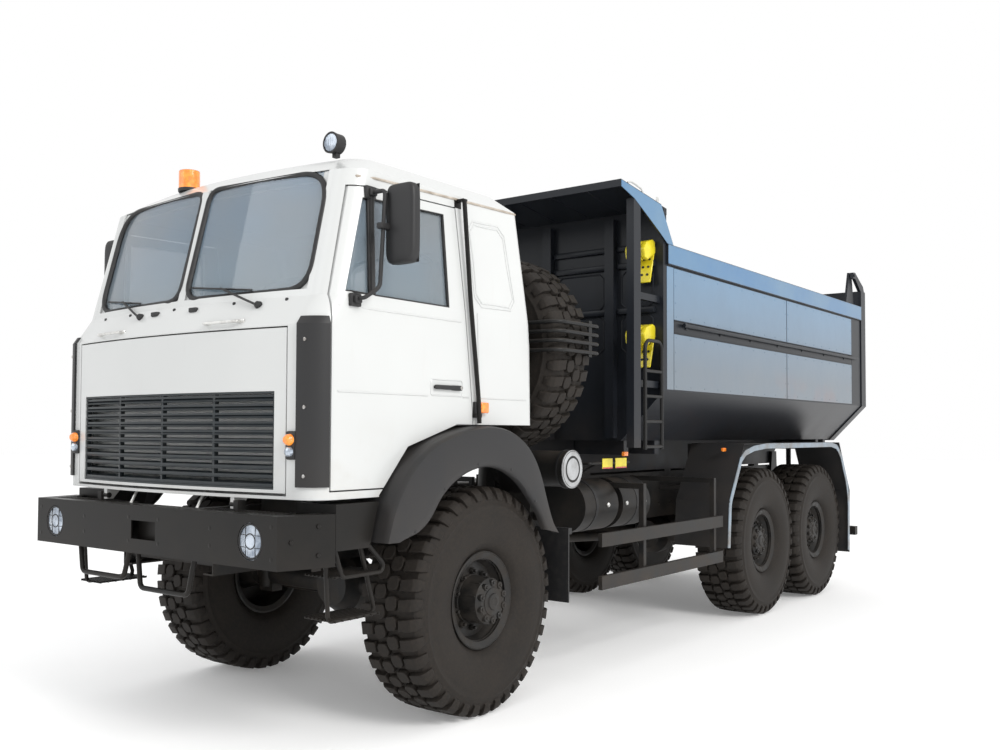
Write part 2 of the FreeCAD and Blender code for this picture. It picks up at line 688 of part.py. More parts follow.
def tail_end():
    """Underrun bar on its two arms, and the beam that carries the tail lamps."""
    back = "rear_axle + underrun_back"
    pieces = [
        box("underrun_beam", ("-side_half + 25", "side_half - 25"), (f"{back} - 40", f"{back} + 40"),
            ("underrun_low", "underrun_high")),
        box("tail_lamp_beam", ("-mudguard_outer + 90", "mudguard_outer - 90"), ("frame_rear", "frame_rear + 40"),
            ("frame_bottom + 50", "frame_bottom + 110")),
    ]
    for n, span in enumerate(left_and_right("frame_half - 60", "frame_half - 20"), 1):
        pieces.append(prism(f"underrun_arm_{n}", "x", span, [
            ("frame_rear - 150", "frame_bottom"), ("frame_rear", "frame_bottom"),
            (f"{back} + 30", "underrun_high"), (f"{back} + 30", "underrun_low + 10"),
            (f"{back} - 40", "underrun_low + 10")]))
    return pieces


def subframe():
    """Box beams along the rails, rest pads for the bed, and the plates and pins of the bed's hinge."""
    beam = box("subframe_beam", ("frame_half - subframe_width", "frame_half"),
               ("front_axle + subframe_start", "hinge_place + 60"), ("frame_top", "subframe_top"))
    outside = "frame_half + hinge_plate_gap"
    pieces = [
        beam,
        prism("hinge_plate", "x", (outside, f"{outside} + hinge_plate"), [
            ("hinge_place - 150", "frame_bottom + 40"), ("hinge_place + 100", "frame_bottom + 40"),
            ("hinge_place + 60", "hinge_height + 60"), ("hinge_place - 60", "hinge_height + 60")]),
        box("hinge_packer", ("frame_half", outside), ("hinge_place - 90", "hinge_place + 45"),
            ("frame_bottom + 60", "subframe_top - 10")),
        rod("hinge_pin_bar", "x", ("frame_half - subframe_width - 8", f"{outside} + 10"),
            ("hinge_place", "hinge_height"), "hinge_pin"),
    ]
    for n, place in enumerate(("bed_start + 260", "mid_axle - 500", "bogie", "rear_axle + 200"), 1):
        pieces.append(box(f"rest_pad_{n}", ("frame_half - subframe_width", "frame_half"),
                          (f"{place} - 60", f"{place} + 60"), ("subframe_top", "subframe_top + beam_clear - rest_gap")))
    side = joined("subframe_side", *pieces)
    cross = [
        box(f"subframe_cross_{n}", ("-frame_half", "frame_half"), (f"{place} - 40", f"{place} + 40"),
            ("frame_top", "subframe_top - 20"))
        for n, place in enumerate(("front_axle + subframe_start + 60", "bogie", "hinge_place - 60"), 1)
    ]
    node("subframe", joined("subframe", side, mirrored(side), *cross))


def housing(name, place, back):
    """A differential housing on its axle."""
    return turned(name, "y", ("0", place, "axle_height"), [
        ("-diff_front", "0"), ("-diff_front", "diff_radius * 0.7"), ("-60", "diff_radius"),
        ("60", "diff_radius"), (back, "diff_radius * 0.55"), (back, "0")])


def spring_pad(name, middle, width, place):
    """A flat seat for a leaf spring on top of an axle beam."""
    return box(name, (f"{middle} - {width} / 2", f"{middle} + {width} / 2"),
               (f"{place} - spring_pad", f"{place} + spring_pad"), ("axle_height", "spring_seat"))


def axles():
    """Three driven axle beams; the front one ends in forks that hold the knuckles."""
    beams = []
    for axle in ("mid", "rear"):
        place = f"{axle}_axle"
        pad = spring_pad(f"{axle}_pad", "bogie_spring_middle", "bogie_spring_width", place)
        beams.append(joined(
            f"{axle}_beam",
            rod(f"{axle}_tube", "x", ("-wheel_out + hub_inner + 20", "wheel_out - hub_inner - 20"),
                (place, "axle_height"), "axle_tube"),
            rod(f"{axle}_spindle", "x", ("-wheel_out - rear_hub_proud + hub_cap + 10",
                                         "wheel_out + rear_hub_proud - hub_cap - 10"),
                (place, "axle_height"), "spindle_radius"),
            housing(f"{axle}_housing", place, "diff_back"), pad, mirrored(pad)))
    node("rear_axle_beams", together("rear_axle_beams", *beams))
    inner = "kingpin_offset - knuckle_radius - 30"
    high = "axle_height + knuckle_half + ear_gap"
    low = "axle_height - knuckle_half - ear_gap"
    across = ("front_axle - fork_half", "front_axle + fork_half")
    fork = joined(
        "front_fork",
        box("fork_ear_high", (inner, "kingpin_offset + 40"), across, (high, f"{high} + fork_thickness")),
        box("fork_ear_low", (inner, "kingpin_offset + 40"), across, (f"{low} - fork_thickness", low)),
        box("fork_upright", (inner, f"{inner} + fork_web"), across, (low, high)),
        rod("kingpin", "z", (f"{low} - 5", f"{high} + 5"), ("kingpin_offset", "front_axle"), "kingpin_radius"),
        spring_pad("front_pad", "spring_middle", "spring_width", "front_axle"))
    node("front_axle_beam", joined(
        "front_axle_beam",
        rod("front_tube", "x", (f"-({inner}) - 5", f"{inner} + 5"), ("front_axle", "axle_height"), "axle_tube"),
        housing("front_housing", "front_axle", "front_diff_back"), fork, mirrored(fork)))


def knuckles():
    """Steering knuckles: a barrel on the kingpin, the wheel's spindle and the arm to the track rod."""
    arm_high = "axle_height - arm_drop"
    end = "front_axle + steering_arm"
    solid = joined(
        "knuckle_left_solid",
        rod("knuckle_barrel", "z", ("axle_height - knuckle_half", "axle_height + knuckle_half"),
            ("kingpin_offset", "front_axle"), "knuckle_radius"),
        rod("knuckle_spindle", "x", ("kingpin_offset + 20", "wheel_out + front_hub_proud - hub_cap - 10"),
            ("front_axle", "axle_height"), "spindle_radius"),
        box("knuckle_arm", ("kingpin_offset - 25", "kingpin_offset + 25"), ("front_axle + 20", end),
            (f"{arm_high} - arm_thickness", arm_high)),
        rod("knuckle_arm_end", "z", (f"{arm_high} - arm_thickness", arm_high), ("kingpin_offset", end), "25"))
    bore = rod("knuckle_bore", "z", ("axle_height - knuckle_half - 5", "axle_height + knuckle_half + 5"),
               ("kingpin_offset", "front_axle"), "kingpin_radius + running_gap")
    left = less("knuckle_left", solid, bore)
    node("knuckle_left", left)
    node("knuckle_right", mirrored(left))
    height = f"{arm_high} - arm_thickness - ear_gap - tie_rod_radius"
    node("tie_rod", rod("tie_rod", "x", ("-kingpin_offset - 15", "kingpin_offset + 15"), (end, height),
                        "tie_rod_radius"))


def springs():
    """Front leaf springs with their hangers, and the rear bogie springs on their saddles."""
    span = ("spring_middle - spring_width / 2", "spring_middle + spring_width / 2")
    ends = "spring_seat + spring_rise"
    half, flat = "spring_half_length", "spring_half_length - 70"
    leaf = prism("front_leaf", "x", span, [
        (f"front_axle - {half}", ends), (f"front_axle - {half}", f"{ends} - 24"),
        (f"front_axle - ({flat})", f"{ends} - 24"), ("front_axle - 120", "spring_seat"),
        ("front_axle + 120", "spring_seat"), (f"front_axle + {flat}", f"{ends} - 24"),
        (f"front_axle + {half}", f"{ends} - 24"), (f"front_axle + {half}", ends),
        (f"front_axle + {flat}", ends), ("front_axle + 120", "spring_seat + spring_depth"),
        ("front_axle - 120", "spring_seat + spring_depth"), (f"front_axle - ({flat})", ends),
    ])
    hangers = [
        box("front_hanger_1", span, (f"front_axle - {half}", f"front_axle - ({flat})"), (ends, "frame_bottom")),
        box("front_hanger_2", span, (f"front_axle + {flat}", f"front_axle + {half}"), (ends, "frame_bottom")),
    ]
    middle = "spring_seat + bogie_spring_arch"
    rear_leaf = prism(
        "rear_leaf", "x",
        ("bogie_spring_middle - bogie_spring_width / 2", "bogie_spring_middle + bogie_spring_width / 2"), [
            ("mid_axle - spring_pad", "spring_seat"), ("mid_axle + spring_pad", "spring_seat"),
            ("bogie - 90", middle), ("bogie + 90", middle),
            ("rear_axle - spring_pad", "spring_seat"), ("rear_axle + spring_pad", "spring_seat"),
            ("rear_axle + spring_pad", "spring_seat + 30"), ("bogie + 90", f"{middle} + bogie_spring_depth"),
            ("bogie - 90", f"{middle} + bogie_spring_depth"), ("mid_axle - spring_pad", "spring_seat + 30"),
        ])
    node("leaf_springs", both_sides("leaf_springs", joined("front_spring", leaf, *hangers), rear_leaf))


def driveline():
    """Engine and gearbox as one block, the transfer case and the propeller shafts."""
    inside = ("-frame_inner", "frame_inner")
    end = "front_axle + engine_behind"
    engine = joined(
        "engine_block",
        box("engine_body", ("-engine_half", "engine_half"), ("front_axle - engine_ahead", end),
            ("frame_bottom + 20", "engine_top")),
        box("gearbox", ("-engine_half * 2 / 3", "engine_half * 2 / 3"), (end, f"{end} + gearbox_length"),
            ("frame_bottom + 60", "frame_top + 140")),
        box("engine_mount", inside, ("front_axle + 100", "front_axle + 180"), ("frame_top - 120", "frame_top - 40")))
    middle = "front_axle + (transfer_start + transfer_end) / 2"
    case = joined(
        "transfer_case",
        box("transfer_body", ("-230", "230"), ("front_axle + transfer_start", "front_axle + transfer_end"),
            ("transfer_shaft - 70", "frame_top - 60")),
        box("transfer_mount", inside, (f"{middle} - 40", f"{middle} + 40"), ("frame_top - 130", "frame_top - 60")))
    node("engine", together("engine", engine, case))
    v = value
    axle = v.axle_height
    runs_between = (
        (v.front_axle + v.front_diff_back, axle, v.front_axle + v.transfer_start, v.transfer_shaft),
        (v.front_axle + v.transfer_end, v.transfer_shaft, v.mid_axle - v.diff_front, axle),
        (v.mid_axle + v.diff_back, axle, v.rear_axle - v.diff_front, axle),
    )
    flange = 24
    shafts = []
    for start, start_height, end_place, end_height in runs_between:
        first = (0, start + flange / 2, start_height)
        last = (0, end_place - flange / 2, end_height)
        shafts.append(bar(first, last, v.shaft_radius).fuse([
            bar((0, start + v.rest_gap, start_height), (0, start + flange, start_height), v.shaft_flange),
            bar((0, end_place - flange, end_height), (0, end_place - v.rest_gap, end_height), v.shaft_flange)]))
    node("drive_shafts", feature("drive_shafts", Part.makeCompound(shafts)))


# Bumper, lamps and steps

def bumper():
    """A channel bent back at its ends, with its lamp holes, towing recess, brackets and the hoops under it."""
    ends = "bumper_face + bumper_end_back"
    outer = prism("bumper_outer", "z", ("bumper_low", "bumper_high"), [
        ("-bumper_bend", "bumper_face"), ("bumper_bend", "bumper_face"),
        ("bumper_end_half", ends), ("bumper_end_half - bumper_depth", ends),
        ("bumper_bend - bumper_depth / 2", "bumper_face + bumper_depth"),
        ("-bumper_bend + bumper_depth / 2", "bumper_face + bumper_depth"),
        ("-bumper_end_half + bumper_depth", ends), ("-bumper_end_half", ends)])
    inner = prism("bumper_inner", "z", ("bumper_low + bumper_sheet", "bumper_high - bumper_sheet"), [
        ("-bumper_bend + bumper_sheet / 2", "bumper_face + bumper_sheet"),
        ("bumper_bend - bumper_sheet / 2", "bumper_face + bumper_sheet"),
        ("bumper_end_half - bumper_sheet", f"{ends} + 5"),
        ("-bumper_end_half + bumper_sheet", f"{ends} + 5"),
    ])
    cut = ("bumper_face - 5", "bumper_face + 20")
    holes = [
        rod(f"bumper_lamp_hole_{n}", "y", cut, (f"{sign} * lamp_out", "lamp_height"), "lamp_radius + lamp_gap")
        for n, sign in enumerate((1, -1), 1)
    ]
    holes.append(box("bumper_recess", ("-110", "110"), cut, ("lamp_height - 50", "lamp_height + 50")))
    pieces = [
        less("bumper_shell", outer, inner, *holes),
        box("bumper_tow_pocket", ("-140", "140"), ("bumper_face + 60", "bumper_face + 72"),
            ("bumper_low + bumper_sheet", "bumper_high - bumper_sheet")),
    ]
    for n, span in enumerate(left_and_right("frame_half - 60", "frame_half"), 1):
        pieces.append(box(f"bumper_tie_{n}", span, ("bumper_face + bumper_sheet", "frame_front"),
                          ("bumper_low + 60", "frame_top - 10")))
    seat = value.bumper_low + value.bumper_sheet / 2
    y = value.bumper_face + value.bumper_depth / 2
    for n, (x0, x1, drop) in enumerate(((-690, -200, 150), (-120, 380, 190)), 1):
        low = value.bumper_low - drop
        route = [(x0, y, seat), (x0 + 40, y - 10, low), (x1 - 40, y - 10, low), (x1, y, seat)]
        pieces.append(feature(f"bumper_hoop_{n}", bent_tube(route, value.hoop_radius, 40)))
    node("front_bumper", joined("front_bumper", *pieces))


def lamps():
    """Headlamps in the bumper and tail lamps on their beam."""
    seat = "bumper_sheet + rest_gap"
    headlamp = turned("headlamp", "y", ("lamp_out", "bumper_face", "lamp_height"), [
        ("1", "0"), ("2", "lamp_radius * 0.5"), ("5", "lamp_radius * 0.9"), ("8", "lamp_radius"),
        (seat, "lamp_radius"), (seat, "lamp_radius + lamp_rim"), (f"{seat} + 4", "lamp_radius + lamp_rim"),
        ("lamp_depth", "lamp_radius * 0.5"), ("lamp_depth", "0")])
    beam = "frame_rear + 40"
    tail = box("tail_lamp", ("mudguard_outer - 340", "mudguard_outer - 100"), (beam, f"{beam} + 50"),
               ("frame_bottom + 30", "frame_bottom + 130"))
    node("lamps", both_sides("lamps", headlamp, tail))


FENDER_OUTER = [("front_axle - 962", "1092"), ("front_axle - 893", "1322"), ("front_axle - 669", "1573"),
                ("front_axle - 255", "fender_top"), ("front_axle + 100", "fender_top"),
                ("front_axle + 385", "1534"), ("front_axle + 546", "1113"), ("front_axle + 630", "1028")]
FENDER_INNER = [("front_axle + 483", "1058"), ("front_axle + 398", "1189"), ("front_axle + 140", "1420"),
                ("front_axle - 172", "arch_top"), ("front_axle - 492", "1352"), ("front_axle - 640", "1140"),
                ("front_axle - 863", "1091")]


def fenders():
    """Front fenders, each an arched sheet with a flare, on two bars from the frame; mud flaps behind."""
    block = prism("fender_block", "x", ("fender_inner", "side_half"), FENDER_OUTER + FENDER_INNER)
    under = [("front_axle - 962 + fender_sheet * 1.4", "1080"),
             ("front_axle - 893 + fender_sheet * 1.2", "1322 + fender_sheet / 6"),
             ("front_axle - 669 + fender_sheet * 0.7", "1573 - fender_sheet"),
             ("front_axle - 255", "fender_top - fender_sheet"),
             ("front_axle + 100 - fender_sheet / 3", "fender_top - fender_sheet"),
             ("front_axle + 385 - fender_sheet * 0.8", "1534 - fender_sheet * 0.7"),
             ("front_axle + 546 - fender_sheet * 0.9", "1110"), ("front_axle + 600", "1020")]
    hollow = prism("fender_hollow", "x", ("fender_inner - 5", "side_half - fender_sheet"),
                   [*under, ("front_axle + 483", "1020"), ("front_axle - 60", "700"),
                    ("front_axle - 863", "1060")])
    room = prism("fender_room", "z", ("1000", "1265"), [
        ("fender_inner - 45", "front_axle + 380"), ("side_half - 68", "front_axle + 380"),
        ("side_half - 68", "front_axle + 580"), ("side_half - 150", "front_axle + 700"),
        ("fender_inner - 45", "front_axle + 700")])
    pieces = [less("fender_shell", block, hollow, room)]
    top = "fender_top - fender_sheet"
    for n, place in enumerate(("front_axle - 200", "front_axle + 40"), 1):
        span = (f"{place} - fender_stay / 2", f"{place} + fender_stay / 2")
        pieces.append(box(f"fender_bar_{n}", ("frame_half", "side_half - 40"), span, (f"{top} - fender_stay", top)))
        pieces.append(box(f"fender_leg_{n}", ("frame_half", "frame_half + fender_stay"), span,
                          ("frame_top - 160", f"{top} - fender_stay")))
    node("fenders", both_sides("fenders", joined("fender", *pieces)))
    back = "front_axle + flap_place"
    flap = box("flap_sheet", ("mudguard_inner", "side_half - 50"), (back, f"{back} + flap_sheet"), ("560", "1040"))
    bar_behind = box("flap_bar", ("frame_half", "side_half - 50"), (f"{back} + flap_sheet", f"{back} + flap_sheet + 30"),
                     ("1000", "1040"))
    node("front_mud_flaps", both_sides("front_mud_flaps", joined("front_mud_flap", flap, bar_behind)))


def cab_steps():
    """Panels ahead of the front wheels with a tube step below each, on arms from the frame."""
    pieces = [
        prism("step_panel", "x", ("860", "1150"), [
            ("front_axle - 1235", "1070"), ("front_axle - 1000", "1070"), ("front_axle - 985", "1100"),
            ("front_axle - 930", "1300"), ("front_axle - 1235", "1300")]),
        box("step_arm", ("frame_half", "860"), ("front_axle - 1150", "front_axle - 1090"), ("1100", "1160")),
    ]
    axle = value.front_axle
    upper = [(1130, axle - 1225, 1080), (1130, axle - 1170, 935), (1130, axle - 830, 935), (1130, axle - 985, 1080)]
    lower = [(1080, axle - 1240, 1080), (1080, axle - 1215, 715), (1080, axle - 880, 715), (1080, axle - 995, 1080)]
    for n, route in enumerate((upper, lower), 1):
        pieces.append(feature(f"step_tube_{n}", bent_tube(route, value.step_tube, 30)))
    node("cab_steps", both_sides("cab_steps", joined("cab_step", *pieces)))


# Cab

def cab_outline(height, front, back, half, inset):
    """Closed plan of the cab at a height, its front bowed and its corners round."""
    half, front, back = half - inset, front + inset, back - inset
    corner, tail = value.cab_corner - inset / 2, value.cab_back_corner
    wing = front + value.cab_bow
    bulge = corner * math.sqrt(0.5)
    tail_bulge = tail * math.sqrt(0.5)

    def at_place(x, y):
        return Vector(x, y, height)

    def arc(*stops):
        return Part.Arc(*[at_place(*stop) for stop in stops])

    def line(start, end):
        return Part.LineSegment(at_place(*start), at_place(*end))
    left_front, left_back = (half, wing + corner), (half, back - tail)
    right_front, right_back = (-half, wing + corner), (-half, back - tail)
    edges = [
        arc((-half + corner, wing), (0, front), (half - corner, wing)),
        arc((half - corner, wing), (half - corner + bulge, wing + corner - bulge), left_front),
        line(left_front, left_back),
        arc(left_back, (half - tail + tail_bulge, back - tail + tail_bulge), (half - tail, back)),
        line((half - tail, back), (tail - half, back)),
        arc((tail - half, back), (tail - half - tail_bulge, back - tail + tail_bulge), right_back),
        line(right_back, right_front),
        arc(right_front, (corner - half - bulge, wing + corner - bulge), (corner - half, wing)),
    ]
    return Part.Wire([edge.toShape() for edge in edges])


def cab_form(name, inset):
    """The cab's outside, or a form a wall's thickness inside it."""
    v, axle = value, value.front_axle
    levels = [
        (v.cab_bottom + inset, v.cab_front, v.cab_back_low, v.cab_half),
        (v.cab_seam, v.cab_front, v.cab_back_low - 20, v.cab_half),
        (v.cab_scuttle, v.cab_screen_foot, v.cab_back_low - 35, v.cab_half),
        (v.cab_gutter, v.cab_screen_head, v.cab_back_high, v.cab_half - v.cab_gutter_in),
        (v.cab_top - inset, v.cab_roof_front, v.cab_roof_back, v.cab_half - v.cab_roof_in),
    ]
    wires = [cab_outline(height, axle - front, axle + back, half, inset) for height, front, back, half in levels]
    return feature(name, Part.makeLoft(wires, True, True))


def arch_cutter(name, grow):
    """What the wheels and the chassis take out of the cab's underside."""
    up = f"fender_clear + {grow}"
    return prism(name, "x", ("-side_half", "side_half"), [
        (f"front_axle - 893 - {up}", "900"),
        (f"front_axle - 893 - {up}", "1330"),
        (f"front_axle - 669 - {up} * 0.7", f"1573 + {up} * 0.7"),
        ("front_axle - 255", f"fender_top + {up}"),
        ("front_axle + 900", f"fender_top + {up}"),
        ("front_axle + 900", "900"),
    ])


def pane(name, low, high):
    """A window opening through the front, for the pane between two places across the cab."""
    return prism(name, "y", ("front_axle - 1600", "front_axle - 900"), [
        (low, "screen_low"), (high, "screen_low"), (f"({high}) * 0.985", "screen_high"), (f"({low}) * 0.985", "screen_high")])


def beyond(sign):
    """A span through one side of the cab."""
    return left_and_right("cab_half - 125", "cab_half + 75")[0 if sign > 0 else 1]


def door_area(name, grow, sign):
    """A door's outline seen from the side, grown by its gap for the hole."""
    span = left_and_right(f"cab_half - 117 - {grow}", "cab_half + 75")[0 if sign > 0 else 1]
    return prism(name, "x", span, [
        (f"front_axle - door_front - {grow}", f"door_low - {grow}"),
        (f"front_axle - door_back + {grow}", f"door_low - {grow}"),
        (f"front_axle - door_back + {grow}", "1750"),
        (f"front_axle - door_back - 150 + {grow}", f"door_high + {grow}"),
        (f"front_axle - door_front + 175 - {grow}", f"door_high - 20 + {grow}"),
        (f"front_axle - door_front + 30 - {grow}", "cab_scuttle"),
        (f"front_axle - door_front - {grow}", "cab_seam"),
    ])


def window_area(name, sign):
    """A door window's outline seen from the side."""
    return prism(name, "x", beyond(sign), [
        ("front_axle - window_front", "window_low"), ("front_axle - window_back + 35", "window_low"),
        ("front_axle - window_back", "window_high"), ("front_axle - window_front + 135", "window_high - 20")])


def cab():
    """Hollow cab: shell with its openings, glass, doors, the lifting front panel and the inside."""
    outer = less("cab_outer", cab_form("cab_skin", 0), arch_cutter("cab_arch", "0"))
    inner = less("cab_inner", cab_form("cab_space", value.cab_wall), arch_cutter("cab_arch_inner", "cab_wall"))
    walls = less("cab_walls", outer, inner)
    panes = [pane("pane_left", "screen_pillar", "screen_half"), pane("pane_right", "-screen_half", "-screen_pillar")]
    back_window = box("back_window", ("-back_window_half", "back_window_half"),
                      ("front_axle + 300", "front_axle + 700"), ("window_low + 70", "window_high - 35"))
    cut = ("front_axle - 1600", "front_axle - 1285")
    panel_hole = box("panel_hole", ("-panel_half - panel_gap", "panel_half + panel_gap"), cut,
                     ("panel_low - panel_swing", "cab_seam - 8"))
    doors_out = [door_area("door_hole_left", "panel_gap", 1), door_area("door_hole_right", "panel_gap", -1)]
    shell = less("cab_open", walls, *panes, back_window, panel_hole, *doors_out)
    bulkhead = box("cab_bulkhead", ("-cab_half + cab_wall + 22", "cab_half - cab_wall - 22"),
                   ("front_axle - 1275", "front_axle - 1260"), ("cab_bottom + 20", "cab_seam + 60"))
    eyes = [
        prism(f"cab_tilt_eye_{n}", "x", span, [
            ("tilt_pivot - 12", "cab_tilt_height - 22"), ("tilt_pivot + 30", "cab_tilt_height - 22"),
            ("tilt_pivot + 90", "cab_bottom + 10"), ("tilt_pivot - 12", "cab_bottom + 10")])
        for n, span in enumerate(left_and_right("tilt_eye_out", "tilt_eye_out + tilt_eye_width"), 1)
    ]
    bore = rod("cab_tilt_bore", "x", ("-700", "700"), ("tilt_pivot", "cab_tilt_height"),
               "cab_tilt_radius + running_gap")
    node("cab_shell", less("cab_shell", joined("cab_shell_solid", shell, bulkhead, *eyes), bore))
    skin = less("glass_skin", cab_form("glass_outer", value.glass_inset),
                cab_form("glass_inner", value.glass_inset + value.glass_thickness))
    node("cab_glass", shared("cab_glass", skin, together("cab_glass_areas", back_window, *panes)))
    for side, sign in (("left", 1), ("right", -1)):
        door(side, sign, walls, skin)
    panel_area = box("panel_area", ("-panel_half", "panel_half"), cut, ("panel_low", "cab_seam - 8 - panel_gap"))
    through = ("front_axle - 1600", "front_axle - 1200")
    grille_hole = box("grille_hole", ("-grille_half", "grille_half"), through, ("grille_low", "grille_high"))
    node("front_panel", less("front_panel", shared("panel_blank", walls, panel_area), grille_hole))
    slats = []
    for n in range(int(value.grille_slats)):
        middle = f"grille_low + (grille_high - grille_low) * {n + 0.5} / grille_slats"
        slats.append(box(f"slat_{n}", ("-grille_half", "grille_half"), through,
                         (f"{middle} - slat_thickness / 2", f"{middle} + slat_thickness / 2")))
    bars = [
        box(f"grille_bar_{n}", (f"{place} - 8", f"{place} + 8"), through, ("grille_low", "grille_high"))
        for n, place in enumerate(("-grille_half + 8", "-grille_half / 2", "0", "grille_half / 2", "grille_half - 8"))
    ]
    face = less("slat_skin", cab_form("slat_front", 8), cab_form("slat_back", 8 + value.slat_depth))
    node("grille", shared("grille", face, joined("grille_bars", *slats, *bars)))
    cab_trim()


def door(side, sign, walls, skin):
    """A door as thick as the cab's wall, its glass, and the mirror on its two arms."""
    leaf = shared(f"door_leaf_{side}", walls, door_area(f"door_area_{side}", "0", sign))
    post = box(f"vent_bar_{side}", beyond(sign),
               ("front_axle - vent_bar - vent_bar_width / 2", "front_axle - vent_bar + vent_bar_width / 2"),
               ("window_low - 20", "window_high + 20"))
    depth = less(f"vent_skin_{side}", cab_form(f"vent_out_{side}", 6), cab_form(f"vent_in_{side}", 34))
    pane_hole = window_area(f"window_hole_{side}", sign)
    node(f"door_{side}", joined(f"door_{side}", less(f"door_frame_{side}", leaf, pane_hole),
                                shared(f"vent_post_{side}", depth, post)))
    node(f"door_glass_{side}", shared(f"door_glass_{side}", skin, less(f"glass_area_{side}", pane_hole, post)))
    v = value
    axle = v.front_axle
    housing_span = left_and_right("mirror_out - 100", "mirror_out + 100")[0 if sign > 0 else 1]
    block = box(f"mirror_block_{side}", housing_span, ("front_axle - mirror_ahead - 30", "front_axle - mirror_ahead + 30"),
                ("mirror_height - 210", "mirror_height + 210"))
    head = rounded(f"mirror_head_{side}", block, 22, lambda edge: runs(edge, "y"))
    up, low, foot = v.mirror_height + 175, v.mirror_height - 330, v.mirror_height - 395
    out, ahead = v.mirror_out - 78, -v.mirror_ahead
    route = [(sign * x, axle + y, z) for x, y, z in
             ((v.cab_half - 19.6, ahead - 45, up), (out, ahead - 45, up), (out, ahead - 80, low),
              (out - 7, ahead - 180, foot), (v.cab_half + 0.8, ahead - 180, foot))]
    arm = feature(f"mirror_arm_{side}", bent_tube(route, v.mirror_tube, 60))
    clamp = box(f"mirror_clamp_{side}", beyond_mirror(sign),
                ("front_axle - mirror_ahead - 80", "front_axle - mirror_ahead - 25"),
                ("mirror_height - 30", "mirror_height"))
    node(f"mirror_{side}", joined(f"mirror_{side}", head, arm, clamp))


def beyond_mirror(sign):
    """The span across a mirror's clamp, from its arm to its housing."""
    return left_and_right("mirror_out - 92", "mirror_out - 65")[0 if sign > 0 else 1]


def cab_trim():
    """Corner deflectors standing on the cab's skin, the beacon and the work lamp on its roof."""
    skin = less("deflector_skin", cab_form("deflector_out", -value.deflector_sheet),
                cab_form("deflector_in", -value.rest_gap))
    area = box("deflector_area", ("cab_half - 125", "cab_half + 75"), ("front_axle - 1420", "front_axle - 1262"),
               ("deflector_low", "deflector_high"))
    deflector = shared("deflector", skin, area)
    beacon = joined(
        "beacon",
        rod("beacon_foot", "z", ("cab_top + rest_gap", "cab_top + 30"), ("-440", "front_axle - 960"), "50"),
        rod("beacon_dome", "z", ("cab_top + 30", "cab_top + 130"), ("-440", "front_axle - 960"), "62"))
    lamp = joined(
        "work_lamp",
        box("work_lamp_foot", ("840", "870"), ("front_axle - 985", "front_axle - 955"),
            ("cab_top + rest_gap", "cab_top + 30")),
        rod("work_lamp_head", "y", ("front_axle - 1010", "front_axle - 950"), ("855", "cab_top + 75"), "55"))
    node("cab_trim", together("cab_trim", both_sides("deflectors", deflector), beacon, lamp))


def cab_inside():
    """Two seats, the dashboard, and the steering wheel on its column, as one set."""
    seats = []
    for n, (low, high) in enumerate((("300", "800"), ("-800", "-300")), 1):
        seats.append(joined(
            f"seat_{n}",
            box(f"seat_base_{n}", (f"{low} + 60", f"{high} - 60"), ("front_axle - 560", "front_axle - 140"),
                ("cab_floor", "cab_floor + 160")),
            box(f"seat_cushion_{n}", (low, high), ("front_axle - 620", "front_axle - 90"),
                ("cab_floor + 160", "cab_floor + 290")),
            prism(f"seat_back_{n}", "x", (low, high), [
                ("front_axle - 160", "cab_floor + 290"), ("front_axle - 40", "cab_floor + 290"),
                ("front_axle + 40", "cab_floor + 950"), ("front_axle - 50", "cab_floor + 950")])))
    dash = prism("dash_body", "x", ("-panel_half + 35", "panel_half - 35"), [
        ("front_axle - 1260", "1900"), ("front_axle - 1000", "1940"), ("front_axle - 940", "2100"),
        ("front_axle - 1040", "2300"), ("front_axle - 1195", "2330"), ("front_axle - 1260", "2200")])
    centre = Vector(550, value.front_axle - 830, 2300)
    axis = Vector(0, 0.6, 0.8)
    across = Vector(1, 0, 0)
    turns = [math.radians(angle) for angle in (30, 150, 270)]
    spokes = [across * math.cos(turn) + axis.cross(across) * math.sin(turn) for turn in turns]
    wheel = Part.makeTorus(235, 15, centre, axis).fuse([
        Part.makeCylinder(45, 40, centre - axis * 30, axis),
        Part.makeCylinder(24, 275, centre - axis * 300, axis),
        *[Part.makeCylinder(10, 232, centre, spoke) for spoke in spokes]])
    steering = joined("dash_and_wheel", dash, feature("steering_wheel", wheel))
    node("cab_interior", together("cab_interior", steering, *seats))


# Bed

def bed():
    """Tipping bed: folded body with rails and ears, front wall, canopy, ladder, chocks and the beams below."""
    slope = "bed_sheet * 1.4"
    inside = "bed_side - bed_wall"
    body = prism("bed_fold", "y", ("bed_inside", "bed_end"), [
        ("-bed_floor_half", "bed_floor"), ("bed_floor_half", "bed_floor"), ("bed_side", "bed_chine"),
        ("bed_side", "bed_rail_low"), (inside, "bed_rail_low"), (inside, f"bed_chine + {slope}"),
        ("bed_floor_half - bed_sheet", "bed_floor + bed_sheet"),
        ("-bed_floor_half + bed_sheet", "bed_floor + bed_sheet"),
        (f"-({inside})", f"bed_chine + {slope}"), (f"-({inside})", "bed_rail_low"),
        ("-bed_side", "bed_rail_low"), ("-bed_side", "bed_chine"),
    ])
    rail = box("bed_rail", (inside, "side_half"), ("bed_inside", "bed_end"), ("bed_rail_low", "bed_top"))
    ear = prism("gate_ear_plate", "x", (inside, f"{inside} + gate_ear"), [
        ("gate_pivot - 160", "bed_top"), ("gate_pivot + 110", "bed_top"),
        ("gate_pivot + 40", "gate_pivot_height + 30"), ("gate_pivot - 40", "gate_pivot_height + 30")])
    pin = rod("gate_pin_bar", "x", (inside, "side_half"), ("gate_pivot", "gate_pivot_height"), "gate_pin")
    side = joined("bed_rail_and_ear", rail, ear, pin)
    node("bed_body", joined("bed_body", body, side, mirrored(side)))
    front_wall()
    canopy()
    bed_underframe()
    bed_ladder()


